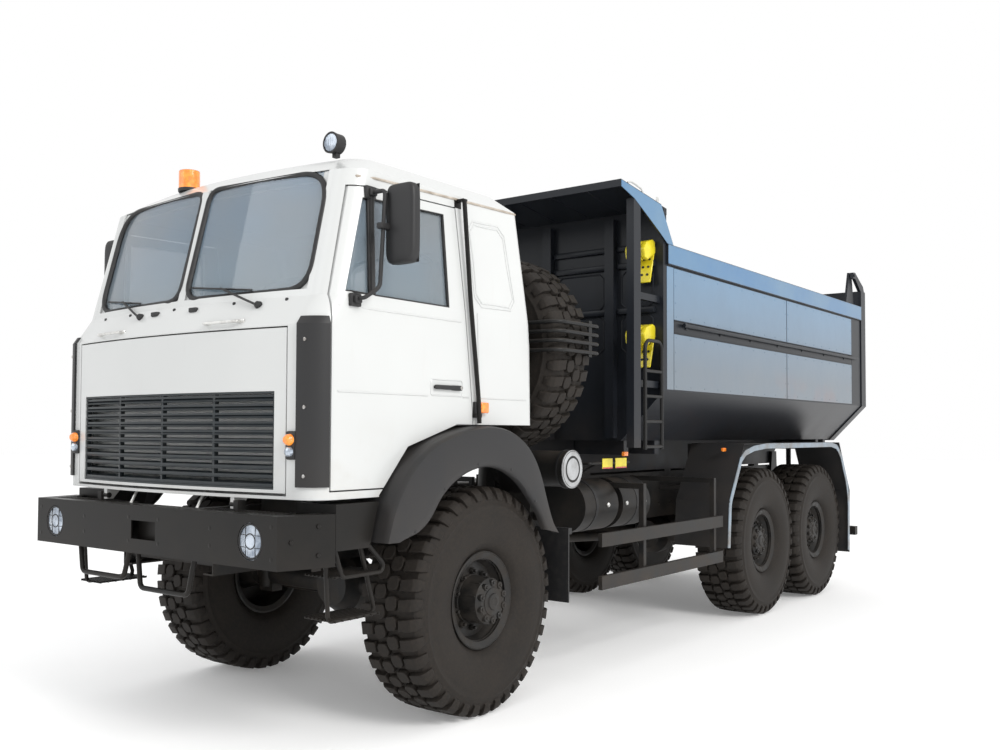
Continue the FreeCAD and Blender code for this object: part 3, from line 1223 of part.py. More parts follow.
def front_wall():
    """Front wall on the bed's section, with ribs and the two cheeks over the hoist's head."""
    top = "canopy_back - 60"
    plate = prism("bed_front_plate", "y", ("bed_start", "bed_inside"), [
        ("-bed_floor_half", "bed_floor"), ("bed_floor_half", "bed_floor"), ("bed_side", "bed_chine"),
        ("bed_side", top), ("-bed_side", top), ("-bed_side", "bed_chine")])
    depth = ("bed_start - front_rib", "bed_start")
    ribs = []
    for n, (low, foot) in enumerate((("180", "bed_floor"), ("760", "bed_floor + 20")), 1):
        for side, span in zip(("left", "right"), left_and_right(low, f"{low} + 80")):
            ribs.append(box(f"front_rib_{n}_{side}", span, depth, (foot, top)))
    cheeks = [
        box(f"hoist_cheek_{n}", span, ("hoist_head - 60", "bed_start"), ("hoist_head_height - 60", "hoist_head_height + 90"))
        for n, span in enumerate(left_and_right("38 + hoist_cheek_gap", "54 + hoist_cheek_gap"), 1)
    ]
    node("bed_front_wall", joined("bed_front_wall", plate, *ribs, *cheeks))


def canopy():
    """Sheet over the cab's back and the spare wheel, with side gussets and the posts at the bed's corners."""
    wide = ("-side_half + 12", "side_half - 12")
    front = "front_axle + canopy_front"
    roof = prism("canopy_roof", "x", wide, [
        (front, "canopy_tip"), (front, "canopy_tip - canopy_lip"),
        (f"{front} + canopy_sheet", "canopy_tip - canopy_lip"),
        (f"{front} + canopy_sheet", "canopy_tip - canopy_sheet"),
        ("bed_inside", "canopy_back - 12 - canopy_sheet"), ("bed_inside", "canopy_back - 12")])
    cap = prism("canopy_cap", "x", wide, [
        ("bed_start", "canopy_back - 60"), ("bed_inside", "canopy_back - 60"),
        ("bed_inside", "canopy_back - 20"), ("bed_start", "canopy_back - 12")])
    gusset = prism("canopy_gusset", "x", ("side_half - 12", "side_half"), [
        (front, "canopy_tip"), ("front_axle + gusset_shoulder", "canopy_back"),
        ("front_axle + gusset_back", "bed_top"), ("bed_start + 40", "bed_top"),
        ("front_axle + 1970", "3165"), ("front_axle + 1760", "3265"), ("front_axle + 1600", "3340"),
        (front, "canopy_tip - canopy_lip")])
    back = "front_axle + post_place + post_depth / 2"
    post = box("canopy_post", ("side_half - post_width", "side_half"), (f"{back} - post_depth", back),
               ("post_low", "canopy_back - 27"))
    brackets = [
        box(f"post_bracket_{n}", ("side_half - post_width - 30", "side_half - post_width + 15"), (back, "bed_start"),
            (low, f"{low} + 50"))
        for n, low in enumerate(("bed_chine + 20", "2640"), 1)
    ]
    side = joined("canopy_side", gusset, post, *brackets)
    node("canopy", joined("canopy", roof, cap, side, mirrored(side)))


def bed_underframe():
    """Two long beams with the hinge's eyes, and the cross members that carry the floor."""
    span = ("frame_half - subframe_width", "frame_half")
    low, high = "subframe_top + beam_clear", "bed_floor - bed_cross"
    beam = prism("bed_beam", "x", span, [
        ("bed_start + 50", low), ("hinge_place", low), ("hinge_place + 60", "hinge_height + 18"),
        ("hinge_place + 130", high), ("bed_end", high), ("bed_end", "bed_floor"), ("bed_start + 50", "bed_floor")])
    eye = rod("bed_eye", "x", span, ("hinge_place", "hinge_height"), "hinge_eye")
    bore = rod("bed_eye_bore", "x", ("frame_half - subframe_width - 20", "frame_half + 20"),
               ("hinge_place", "hinge_height"), "hinge_pin + running_gap")
    long_beam = less("bed_long_beam", joined("bed_long_beam_solid", beam, eye), bore)
    half = "bed_cross_width / 2"
    wide = [
        box(f"bed_cross_{n}", ("-bed_floor_half + 10", "bed_floor_half - 10"), (f"{place} - {half}", f"{place} + {half}"),
            (high, "bed_floor"))
        for n, place in enumerate(("bed_start + 100", "bed_start + (hinge_place - bed_start) / 7", "hinge_place + 180",
                                "bed_end - 120"), 1)
    ]
    narrow = [
        box(f"bed_inner_cross_{n}", ("-frame_half", "frame_half"), (f"{place} - {half}", f"{place} + {half}"),
            (high, "bed_floor"))
        for n, place in enumerate(("mid_axle", "bogie", "rear_axle"), 1)
    ]
    node("bed_underframe", joined("bed_underframe", long_beam, mirrored(long_beam), *wide, *narrow))


def bed_ladder():
    """Ladder ahead of the bed's left corner, and the two wheel chocks hung beside it."""
    v = value
    x = v.side_half - 20
    ahead, back = v.bed_start - 280, v.bed_start - 20
    rails = bent_tube([(x, ahead, 1540), (x, ahead, 2340), (x, back, 2340), (x, back, 1540)], v.ladder_tube, 70)
    rungs = [bar((x, ahead, z), (x, back, z), v.ladder_tube - 2) for z in (1560, 1745, 1930, 2115)]
    stubs = [bar((x, back, z), (x, v.bed_start, z), v.ladder_tube - 4) for z in (2050, 2200)]
    node("bed_ladder", feature("bed_ladder", rails.fuse(rungs + stubs)))
    chocks = []
    for n, foot in enumerate(("2150", "2790"), 1):
        chocks.append(prism(f"chock_{n}", "x", ("bed_side - 235", "bed_side - 55"), [
            ("bed_start", foot), ("bed_start", f"{foot} + 330"), ("bed_start - 70", f"{foot} + 330"),
            ("bed_start - 190", f"{foot} + 90"), ("bed_start - 190", foot)]))
    node("wheel_chocks", together("wheel_chocks", *chocks))


def tailgate():
    """Top-hung tailgate: a framed plate with arms up to its pivots."""
    wide = "side_half - 4"
    around = [("-bed_floor_half - 10", "bed_floor - 12"), ("bed_floor_half + 10", "bed_floor - 12"),
              (wide, "bed_chine - 5"), (wide, "gate_top"), (f"-({wide})", "gate_top"), (f"-({wide})", "bed_chine - 5")]
    inner = "gate_face + gate_plate"
    plate = prism("gate_plate_body", "y", ("gate_face", inner), around)
    rim_outer = prism("gate_rim_outer", "y", (inner, "gate_back"), around)
    rim_inner = prism("gate_rim_inner", "y", (inner, "gate_back + 1"), [
        ("-bed_floor_half + 30", "bed_floor + 80"), ("bed_floor_half - 30", "bed_floor + 80"),
        (f"{wide} - 90", "bed_chine + 30"), (f"{wide} - 90", "gate_top - 100"),
        (f"-({wide} - 90)", "gate_top - 100"), (f"-({wide} - 90)", "bed_chine + 30")])
    ribs = [
        box(f"gate_rib_{n}", (f"{x} - 40", f"{x} + 40"), (inner, "gate_back - 20"), ("bed_floor + 50", "gate_top - 60"))
        for n, x in enumerate(("-600", "0", "600"), 1)
    ]
    ear_out = "bed_side - bed_wall + gate_ear"
    arm = prism("gate_arm", "x", (f"{ear_out} + 8", "side_half - 8"), [
        (inner, "gate_top - 20"), ("gate_back - 10", "gate_top - 20"), ("gate_back - 60", "gate_top + 60"),
        ("gate_pivot + 30", "gate_pivot_height + 36"), ("gate_pivot - 36", "gate_pivot_height + 30"),
        ("gate_pivot - 36", "gate_pivot_height - 30"), ("gate_pivot + 40", "gate_pivot_height - 36")])
    bore = rod("gate_arm_bore", "x", (ear_out, "side_half + 5"), ("gate_pivot", "gate_pivot_height"),
               "gate_pin + running_gap")
    bored = less("gate_arm_bored", arm, bore)
    node("tailgate", joined("tailgate", plate, less("gate_rim", rim_outer, rim_inner), *ribs, bored, mirrored(bored)))


def hoist():
    """Telescopic hoist ahead of the bed: a barrel on a foot pin and four stages, the last with the head's eye."""
    v = value
    foot = Vector(0, v.hoist_foot, v.hoist_foot_height)
    head = Vector(0, v.hoist_head, v.hoist_head_height)
    way = (head - foot).normalize()
    across = Vector(1, 0, 0)
    length = (head - foot).Length
    barrel_top = length - v.hoist_neck

    def tube(radius, low, high):
        return Part.makeCylinder(radius, high - low, foot + way * low, way)
    body = tube(v.hoist_radius, 60, barrel_top).fuse([
        Part.makeCylinder(48, 80, foot - across * 40, across), tube(40, 20, 90)])
    space = tube(v.hoist_radius - v.hoist_step + v.hoist_gap, 90, barrel_top + 5)
    hole = Part.makeCylinder(v.hoist_pin + v.running_gap, 100, foot - across * 50, across)
    node("hoist_barrel", feature("hoist_barrel", body.cut(space).cut(hole)))
    for stage in range(1, 5):
        radius = v.hoist_radius - stage * v.hoist_step
        top = barrel_top + v.hoist_collar * stage
        low = 92 + 3 * stage
        piece = tube(radius, low, top)
        if stage < 4:
            piece = piece.cut(tube(radius - v.hoist_step + v.hoist_gap, low + 2, top + 5))
        else:
            piece = piece.fuse([Part.makeCylinder(38, 76, head - across * 38, across), tube(30, top, length)])
        node(f"hoist_stage_{stage}", feature(f"hoist_stage_{stage}", piece))


# Side and rear gear

def side_gear():
    """Air tanks and cleaner on the left, fuel tank on the right, side guards and rear mudguards."""
    tanks = []
    for n, (start, end) in enumerate((("1360", "1825"), ("1895", "2320")), 1):
        middle = f"front_axle + ({start} + {end}) / 2"
        tanks.append(joined(
            f"air_tank_{n}",
            rod(f"air_tank_body_{n}", "y", (f"front_axle + {start}", f"front_axle + {end}"),
                ("tank_middle", "tank_height"), "tank_radius"),
            box(f"air_tank_stay_{n}", ("frame_half", "tank_middle - 60"), (f"{middle} - 30", f"{middle} + 30"),
                ("frame_top - 190", "frame_top - 40"))))
    cleaner = "front_axle + cleaner_place"
    tanks.append(joined(
        "air_cleaner",
        rod("air_cleaner_body", "x", ("430", "1030"), (cleaner, "cleaner_height"), "cleaner_radius"),
        box("air_cleaner_foot", ("frame_half", "700"), (f"{cleaner} - 40", f"{cleaner} + 40"),
            ("frame_top - 90", "cleaner_height - 60"))))
    node("air_tanks", together("air_tanks", *tanks))
    fuel = box("fuel_tank_block", ("-1120", "-520"), ("front_axle + 1400", "front_axle + 2650"),
               ("fuel_low", "fuel_high"))
    fuel_stays = [
        box(f"fuel_stay_{n}", ("-520", "-frame_half"), (f"front_axle + {place}", f"front_axle + {place} + 60"),
            ("960", "1100"))
        for n, place in enumerate(("1600", "2350"), 1)
    ]
    node("fuel_tank", joined("fuel_tank", rounded("fuel_tank_round", fuel, 70, lambda edge: runs(edge, "y")),
                             *fuel_stays))
    side_guards()
    rear_mudguards()


def side_guards():
    """Two rails a side between the front and rear wheels, on legs from the frame."""
    inner = "guard_out - guard_sheet"
    pieces = [
        box(f"guard_rail_{n}", (inner, "guard_out"), ("front_axle + guard_start", "front_axle + guard_end"),
            (low, f"{low} + guard_rail"))
        for n, low in enumerate(("guard_low", "guard_mid"), 1)
    ]
    for n, place in enumerate(("front_axle + 1840", "front_axle + 3050"), 1):
        span = (place, f"{place} + guard_leg")
        pieces += [
            box(f"guard_leg_{n}", (f"{inner} - guard_leg", inner), span, ("guard_low + 10", "frame_top + 100")),
            box(f"guard_arm_{n}", ("frame_half", f"{inner} - guard_leg"), span, ("frame_top + 60", "frame_top + 100")),
            box(f"guard_root_{n}", ("frame_half", "frame_half + 30"), span, ("frame_top - 100", "frame_top + 60")),
        ]
    node("side_guards", both_sides("side_guards", joined("side_guard", *pieces)))


def rear_mudguards():
    """One polygonal guard over both rear wheels of a side, on two arms from the frame."""
    outer = [("mid_axle - 1044", "699"), ("mid_axle - 1012", "1084"), ("mid_axle - 701", "mudguard_top"),
             ("rear_axle + 407", "mudguard_top"), ("rear_axle + 741", "1050"), ("rear_axle + 724", "385")]
    under = "mudguard_top - mudguard_sheet"
    inner = [("rear_axle + 724 - mudguard_sheet", "385"), ("rear_axle + 741 - mudguard_sheet", "1050"),
             ("rear_axle + 405", under), ("mid_axle - 699", under),
             ("mid_axle - 1012 + mudguard_sheet", "1084"), ("mid_axle - 1044 + mudguard_sheet", "699")]
    pieces = [prism("mudguard_fold", "x", ("mudguard_inner", "mudguard_outer"), outer + inner)]
    inside = "mudguard_inner - 15"
    for n, place in enumerate(("mid_axle - 650", "rear_axle + 350"), 1):
        span = (f"{place} - mudguard_arm / 2", f"{place} + mudguard_arm / 2")
        pieces += [
            box(f"mudguard_arm_{n}", ("frame_half", inside), span, ("frame_top - mudguard_arm", "frame_top")),
            box(f"mudguard_post_{n}", (f"{inside} - mudguard_arm", inside), span, ("frame_top", f"{under} - 30")),
            box(f"mudguard_rail_{n}", (f"{inside} - mudguard_arm", "mudguard_inner + 300"), span, (f"{under} - 30", under)),
        ]
    node("rear_mudguards", both_sides("rear_mudguards", joined("rear_mudguard", *pieces)))


def check():
    """Stops before any file is written if an object failed or a shape is empty or broken."""
    for item in doc.Objects:
        if "Invalid" in item.State or "Error" in item.State:
            raise RuntimeError(f"{item.Name} is in state {item.State}")
    for name, piece in nodes.items():
        if piece.Shape.isNull() or not piece.Shape.isValid():
            raise RuntimeError(f"{name} has a null or broken shape")


wheels()
spare_wheel()
frame()
axles()
knuckles()
springs()
driveline()
bumper()
lamps()
fenders()
cab_steps()
cab()
cab_inside()
bed()
tailgate()
hoist()
side_gear()
doc.recompute()
check()
os.makedirs("parts", exist_ok=True)
for name, piece in nodes.items():
    piece.Shape.exportStep(f"parts/{name}.step")
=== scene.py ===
"""Dresses the dump truck: tyres, glass, trim, cladding and finishes on its fixed frame."""
import math

import bmesh
import bpy
from mathutils import Matrix, Vector
from mathutils.bvhtree import BVHTree


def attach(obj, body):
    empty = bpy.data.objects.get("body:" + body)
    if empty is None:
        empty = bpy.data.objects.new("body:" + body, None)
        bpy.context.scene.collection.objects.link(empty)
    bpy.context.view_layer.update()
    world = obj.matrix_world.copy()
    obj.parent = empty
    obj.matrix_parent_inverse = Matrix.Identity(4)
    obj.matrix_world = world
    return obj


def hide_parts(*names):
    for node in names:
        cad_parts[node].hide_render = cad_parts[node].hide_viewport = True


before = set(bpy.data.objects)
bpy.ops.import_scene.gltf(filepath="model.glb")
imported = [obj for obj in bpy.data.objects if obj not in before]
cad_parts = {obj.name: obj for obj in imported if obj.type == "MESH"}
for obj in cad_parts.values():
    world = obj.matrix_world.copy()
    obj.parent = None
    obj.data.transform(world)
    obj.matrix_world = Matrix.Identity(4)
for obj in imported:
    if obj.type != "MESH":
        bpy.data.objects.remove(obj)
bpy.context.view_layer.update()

bl_info = {
    "name": "Dump truck",
    "version": (1, 0, 0),
    "blender": (4, 5, 0),
    "location": "View3D > Sidebar > Dump truck",
    "description": "Tyres, glass, trim, cladding and finishes of a tipping truck",
    "category": "Object",
}

AXLES = {"front": -2.723, "mid": 1.542, "rear": 2.942}
HUB_HEIGHT = 0.672
FRONT = AXLES["front"]
TRACK_HALF = 0.952
SPARE_PLACE = (0.560, FRONT + 0.845, 2.200)
STUD_CIRCLE = 0.1675
HUB_ENDS = {"front": 0.239, "mid": 0.141, "rear": 0.141}
BED_SIDE = 1.235
LAMP_CENTRE = (0.880, -4.2685, 1.127)
MADE = {}


# Sizes and colours that a user would change

def length(name, about, default):
    return bpy.props.FloatProperty(name=name, description=about, default=default, unit="LENGTH", precision=3)


def colour(name, about, default):
    return bpy.props.FloatVectorProperty(name=name, description=about, default=default, subtype="COLOR",
                                         size=3,
                                         min=0.0, max=1.0)


class TruckTyreSizes(bpy.types.PropertyGroup):
    radius: length("Tyre radius", "To the tips of the lugs", 0.672)
    lugs: bpy.props.IntProperty(name="Lugs", description="Lugs round each shoulder", default=38, min=12,
                                max=60)
    studs: bpy.props.IntProperty(name="Studs", description="Wheel studs", default=10, min=4, max=24)


class TruckBodySizes(bpy.types.PropertyGroup):
    seal: length("Window seal", "Radius of the rubber round each window", 0.011)
    gutter: length("Gutter", "Radius of the rain gutter", 0.007)
    cladding: length("Cladding", "Thickness of the sheets on the bed's sides", 0.003)
    rivet: length("Rivet", "Radius of a cladding rivet", 0.007)
    rail_tube: length("Cover rail", "Radius of the cover's rail along the bed", 0.017)


class TruckColours(bpy.types.PropertyGroup):
    cab: colour("Cab", "Cab paint", (0.565, 0.575, 0.57))
    bed: colour("Bed", "Bed paint", (0.012, 0.014, 0.018))
    # The two cladding colours are the ends of a painted sky reflection: steel-blue high, grey low.
    cladding: colour("Cladding", "Upper part of the bed's clad sides", (0.115, 0.215, 0.335))
    cladding_low: colour("Lower cladding", "Lower part of the clad sides", (0.135, 0.165, 0.195))
    chassis: colour("Chassis", "Frame and axles", (0.011, 0.011, 0.011))
    bumper: colour("Bumper", "Bumper and steps", (0.010, 0.0095, 0.009))
    plastic: colour("Plastic", "Fenders, deflectors and mirrors", (0.022, 0.022, 0.023))
    tyre: colour("Tyre", "Rubber", (0.014, 0.012, 0.0105))
    dust: colour("Dust", "Road dust", (0.085, 0.066, 0.05))
    amber: colour("Amber", "Turn signals and beacon", (0.85, 0.20, 0.01))
    yellow: colour("Yellow", "Wheel chocks and plates", (0.72, 0.60, 0.02))


# Materials, all on Object coordinates in metres

class Finish:
    """One procedural material and the node links that its looks need."""

    def __init__(self, name, base, rough, metal=0.0, coat=0.0, coat_rough=0.1):
        self.material = bpy.data.materials.new(name)
        self.material.use_nodes = True
        self.nodes = self.material.node_tree.nodes
        self.links = self.material.node_tree.links
        self.shader = self.nodes["Principled BSDF"]
        self.set("Base Color", (*base, 1.0))
        self.set("Roughness", rough)
        self.set("Metallic", metal)
        self.set("Coat Weight", coat)
        self.set("Coat Roughness", coat_rough)
        self.place = self.add("ShaderNodeTexCoord")
        self.material.diffuse_color = (*base, 1.0)
        MADE[name] = self.material

    def add(self, kind, **settings):
        node = self.nodes.new(kind)
        for key, value in settings.items():
            setattr(node, key, value)
        return node

    def set(self, socket, value):
        self.shader.inputs[socket].default_value = value

    def link(self, out, into):
        self.links.new(out, into)

    def noise(self, scale, detail=4.0, stretch=(1, 1, 1), rough=0.6):
        mapping = self.add("ShaderNodeMapping")
        mapping.inputs["Scale"].default_value = stretch
        self.link(self.place.outputs["Object"], mapping.inputs["Vector"])
        noise = self.add("ShaderNodeTexNoise")
        noise.inputs["Scale"].default_value = scale
        noise.inputs["Detail"].default_value = detail
        noise.inputs["Roughness"].default_value = rough
        self.link(mapping.outputs["Vector"], noise.inputs["Vector"])
        return noise.outputs["Fac"]

    def ramp(self, factor, low, high, first=0.0, last=1.0):
        spread = self.add("ShaderNodeMapRange", clamp=True)
        spread.inputs["From Min"].default_value = low
        spread.inputs["From Max"].default_value = high
        spread.inputs["To Min"].default_value = first
        spread.inputs["To Max"].default_value = last
        self.link(factor, spread.inputs["Value"])
        return spread.outputs["Result"]

    def math(self, operation, a, b):
        node = self.add("ShaderNodeMath", operation=operation)
        for value, socket in zip((a, b), node.inputs):
            if isinstance(value, (int, float)):
                socket.default_value = value
            else:
                self.link(value, socket)
        return node.outputs["Value"]

    def axis(self, letter, source="Object"):
        split = self.add("ShaderNodeSeparateXYZ")
        self.link(self.place.outputs[source], split.inputs["Vector"])
        return split.outputs[letter]

    def mix(self, factor, a, b):
        node = self.add("ShaderNodeMix", data_type="RGBA")
        for value, socket in ((factor, node.inputs["Factor"]), (a, node.inputs["A"]), (b, node.inputs["B"])):
            if isinstance(value, (int, float)):
                socket.default_value = value
            elif isinstance(value, tuple):
                socket.default_value = (*value, 1.0)
            else:
                self.link(value, socket)
        return node.outputs["Result"]

    def base(self, colour_out):
        self.link(colour_out, self.shader.inputs["Base Color"])

    def roughness(self, out):
        self.link(out, self.shader.inputs["Roughness"])

    def bump(self, height, distance, strength=0.5):
        node = self.add("ShaderNodeBump")
        node.inputs["Distance"].default_value = distance
        node.inputs["Strength"].default_value = strength
        self.link(height, node.inputs["Height"])
        self.link(node.outputs["Normal"], self.shader.inputs["Normal"])

    def dusty(self, base, dust, low, high, amount, rough=(0.35, 0.9), scale=3.0):
        """Dust that thickens below a height and on what faces up, broken up by noise."""
        fall = self.ramp(self.axis("Z"), low, high, 1.0, 0.0)
        up = self.ramp(self.axis("Z", "Normal"), 0.2, 1.0, 0.0, 0.8)
        where = self.math("MAXIMUM", fall, up)
        cloud = self.ramp(self.noise(scale, 6.0), 0.35, 0.68)
        cover = self.math("MULTIPLY", self.math("MULTIPLY", where, cloud), amount)
        self.base(self.mix(cover, base, dust))
        self.roughness(self.ramp(cover, 0.0, 1.0, *rough))
        return cover


def paint_finishes(colours):
    dust = tuple(colours.dust)
    cab = Finish("cab_paint_gloss", colours.cab, 0.3, coat=0.35, coat_rough=0.12)
    cover = cab.math("MULTIPLY", cab.ramp(cab.axis("Z"), 1.25, 1.75, 1.0, 0.0),
                     cab.ramp(cab.noise(5.0, 8.0), 0.45, 0.75))
    shade = cab.mix(cab.ramp(cab.noise(1.1, 2.0), 0.3, 0.7), tuple(colours.cab),
                    tuple(c * 0.95 for c in colours.cab))
    streak = cab.ramp(cab.noise(9.0, 4.0, (1, 1, 0.12)), 0.62, 0.8, 0.0, 0.10)
    shade = cab.mix(streak, shade, (0.42, 0.37, 0.31))
    cab.base(cab.mix(cab.math("MULTIPLY", cover, 0.35), shade, (0.36, 0.30, 0.24)))
    cab.bump(cab.noise(2.2, 2.0), 0.0025, 0.35)

    bed = Finish("bed_paint_dark", colours.bed, 0.36, coat=0.04, coat_rough=0.2)
    bed.dusty(tuple(colours.bed), tuple(c * 0.8 for c in dust), 1.3, 1.9, 0.4, (0.34, 0.75), 4.0)
    bed.bump(bed.noise(1.7, 2.0), 0.004, 0.5)
    bed.set("Specular IOR Level", 0.2)

    clad = Finish("bed_cladding_gloss", colours.cladding, 0.3, coat=0.25, coat_rough=0.14)
    # Painted sky reflection: by height, the clad sides fade from steel-blue high up to grey low down. A
    # painted warm glow is mixed in near their bottom. The last mix is tone that differs at random.
    height = clad.axis("Z")
    fade = clad.ramp(height, 2.95, 2.15)
    shade = clad.mix(fade, tuple(colours.cladding), tuple(colours.cladding_low))
    painted_glow = clad.math("MULTIPLY", clad.ramp(clad.noise(1.3, 3.0, (1, 1, 1.6)), 0.5, 0.72),
                     clad.ramp(height, 2.25, 1.98, 0.0, 0.6))
    shade = clad.mix(painted_glow, shade, (0.24, 0.12, 0.10))
    shade = clad.mix(clad.ramp(clad.noise(2.4, 3.0), 0.35, 0.75, 0.0, 0.30), shade, (0.09, 0.14, 0.20))
    clad.base(shade)
    clad.bump(clad.noise(2.6, 3.0), 0.004, 0.6)

    chassis = Finish("chassis_paint_black", colours.chassis, 0.5)
    chassis.dusty(tuple(colours.chassis), dust, 0.3, 1.5, 0.55, (0.42, 0.9), 5.0)
    chassis.bump(chassis.noise(60.0, 3.0), 0.001, 0.4)
    chassis.set("Specular IOR Level", 0.25)

    bumper = Finish("bumper_paint_black", colours.bumper, 0.4)
    bumper.set("Specular IOR Level", 0.18)
    bumper.dusty(tuple(colours.bumper), tuple(c * 0.7 for c in dust), 0.9, 1.35, 0.22, (0.36, 0.75), 3.0)
    bumper.bump(bumper.noise(180.0, 2.0), 0.0006, 0.3)

    plastic = Finish("charcoal_plastic", colours.plastic, 0.5)
    plastic.dusty(tuple(colours.plastic), tuple(c * 0.85 for c in dust), 0.4, 1.7, 0.45, (0.46, 0.8), 3.0)
    plastic.bump(plastic.noise(420.0, 2.0), 0.0005, 0.35)
    plastic.set("Specular IOR Level", 0.3)

    slats = Finish("grille_plastic", (0.020, 0.026, 0.030), 0.38)
    slats.base(slats.mix(slats.ramp(slats.noise(6.0, 5.0), 0.4, 0.7), (0.018, 0.024, 0.028),
                         (0.030, 0.034, 0.036)))
    slats.bump(slats.noise(350.0, 2.0), 0.0004, 0.3)
    slats.set("Specular IOR Level", 0.35)

    rubber = Finish("tyre_rubber", colours.tyre, 0.8)
    cloud = rubber.ramp(rubber.noise(4.0, 8.0), 0.35, 0.7)
    fine = rubber.ramp(rubber.noise(55.0, 6.0), 0.4, 0.7)
    cover = rubber.math("MULTIPLY", rubber.math("ADD", rubber.math("MULTIPLY", cloud, 0.6), fine), 0.12)
    rubber.base(rubber.mix(cover, tuple(colours.tyre), dust))
    rubber.roughness(rubber.ramp(cover, 0.0, 0.6, 0.62, 0.95))
    rubber.bump(rubber.noise(140.0, 6.0), 0.0015, 0.5)
    rubber.set("Specular IOR Level", 0.2)

    rim = Finish("rim_paint_dusty", (0.016, 0.015, 0.014), 0.45)
    cloud = rim.ramp(rim.noise(9.0, 8.0), 0.4, 0.7)
    rim.base(rim.mix(rim.math("MULTIPLY", cloud, 0.25), (0.014, 0.0135, 0.013), dust))
    rim.roughness(rim.ramp(cloud, 0.0, 1.0, 0.36, 0.85))
    rim.bump(rim.noise(90.0, 4.0), 0.001, 0.4)
    rim.set("Specular IOR Level", 0.3)

    glass = Finish("window_glass", (0.20, 0.27, 0.32), 0.04, coat=1.0, coat_rough=0.02)
    fade = glass.ramp(glass.axis("Z"), 2.35, 3.05)
    glass.base(glass.mix(glass.ramp(glass.noise(1.1, 2.0), 0.3, 0.7), glass.mix(fade, (0.23, 0.30, 0.35),
                         (0.14, 0.24, 0.36)), (0.24, 0.27, 0.29)))
    glass.set("Alpha", 0.52)
    glass.set("Specular IOR Level", 0.6)

    seal = Finish("seal_rubber", (0.010, 0.010, 0.011), 0.55)
    seal.base(seal.mix(seal.ramp(seal.noise(30.0, 5.0), 0.45, 0.75, 0.0, 0.5), (0.009, 0.009, 0.010),
                       (0.035, 0.032, 0.03)))
    seal.bump(seal.noise(300.0, 3.0), 0.0004, 0.3)

    steel = Finish("bare_steel", (0.42, 0.42, 0.42), 0.34, metal=1.0)
    steel.base(steel.mix(steel.ramp(steel.noise(22.0, 6.0), 0.45, 0.75), (0.46, 0.45, 0.44),
                         (0.20, 0.17, 0.14)))
    steel.bump(steel.noise(120.0, 3.0, (1, 1, 0.1)), 0.0004, 0.3)

    cabin = Finish("cabin_fabric", (0.055, 0.058, 0.065), 0.85)
    weave = cabin.noise(420.0, 3.0)
    cabin.base(cabin.mix(cabin.ramp(weave, 0.35, 0.7), (0.045, 0.048, 0.055), (0.085, 0.088, 0.095)))
    cabin.bump(weave, 0.001, 0.5)
    cabin.set("Sheen Weight", 0.3)

    lens = Finish("lamp_glass", (0.62, 0.66, 0.70), 0.08, metal=0.55, coat=1.0, coat_rough=0.03)
    ribs = lens.add("ShaderNodeTexWave", wave_type="BANDS", bands_direction="X")
    ribs.inputs["Scale"].default_value = 22.0
    lens.link(lens.place.outputs["Object"], ribs.inputs["Vector"])
    lens.bump(ribs.outputs["Fac"], 0.002, 0.6)
    lens.base(lens.mix(lens.ramp(lens.noise(14.0, 3.0), 0.4, 0.65), (0.50, 0.56, 0.64), (0.16, 0.20, 0.26)))

    amber = Finish("amber_lens", colours.amber, 0.15, coat=1.0, coat_rough=0.05)
    ribs = amber.add("ShaderNodeTexWave", wave_type="BANDS", bands_direction="Z")
    ribs.inputs["Scale"].default_value = 90.0
    amber.link(amber.place.outputs["Object"], ribs.inputs["Vector"])
    amber.bump(ribs.outputs["Fac"], 0.001, 0.5)
    amber.base(amber.mix(amber.ramp(amber.noise(30.0, 2.0), 0.4, 0.7), tuple(colours.amber),
                         (0.95, 0.36, 0.03)))
    amber.set("Emission Color", (1.0, 0.25, 0.02, 1.0))
    amber.set("Emission Strength", 0.12)

    red = Finish("red_lens", (0.45, 0.012, 0.01), 0.15, coat=1.0, coat_rough=0.05)
    red.base(red.mix(red.ramp(red.noise(30.0, 2.0), 0.4, 0.7), (0.42, 0.01, 0.01), (0.62, 0.03, 0.02)))

    yellow = Finish("chock_plastic", colours.yellow, 0.35, coat=0.3, coat_rough=0.2)
    yellow.base(yellow.mix(yellow.ramp(yellow.noise(11.0, 6.0), 0.42, 0.72, 0.0, 0.5), tuple(colours.yellow),
                           (0.42, 0.34, 0.03)))
    yellow.bump(yellow.noise(160.0, 3.0), 0.0005, 0.3)

    cap = Finish("cleaner_cap", (0.40, 0.41, 0.42), 0.42, metal=0.35)
    cap.base(cap.mix(cap.ramp(cap.noise(12.0, 6.0), 0.4, 0.7), (0.46, 0.47, 0.48), (0.30, 0.30, 0.30)))
    cap.bump(cap.noise(90.0, 3.0), 0.0006, 0.3)

    bright = Finish("cap_steel", (0.60, 0.60, 0.58), 0.3, metal=0.6)
    bright.base(bright.mix(bright.ramp(bright.noise(20.0, 5.0), 0.4, 0.7), (0.66, 0.66, 0.64),
                           (0.45, 0.44, 0.42)))

    mirror = Finish("mirror_glass", (0.75, 0.78, 0.80), 0.05, metal=1.0)
    mirror.base(mirror.mix(mirror.ramp(mirror.noise(3.0, 3.0), 0.4, 0.7), (0.78, 0.80, 0.82),
                           (0.66, 0.70, 0.73)))

    rail = Finish("rail_paint_blue", (0.06, 0.16, 0.31), 0.28, coat=0.25, coat_rough=0.12)
    rail.base(rail.mix(rail.ramp(rail.noise(1.4, 3.0), 0.35, 0.7), (0.055, 0.16, 0.31), (0.10, 0.20, 0.31)))
    rail.bump(rail.noise(2.0, 2.0), 0.003, 0.5)

    edge = Finish("mudguard_edge", (0.20, 0.25, 0.30), 0.4, coat=0.3)
    edge.base(edge.mix(edge.ramp(edge.noise(7.0, 6.0), 0.4, 0.7), (0.20, 0.26, 0.32), (0.14, 0.13, 0.12)))

    ground = Finish("studio_floor", (0.92, 0.92, 0.92), 0.9)
    ground.set("Emission Color", (1.0, 1.0, 1.0, 1.0))
    ground.set("Emission Strength", 0.16)
    ground.base(ground.mix(ground.ramp(ground.noise(0.8, 3.0), 0.3, 0.7), (0.93, 0.93, 0.93),
                           (0.90, 0.90, 0.90)))

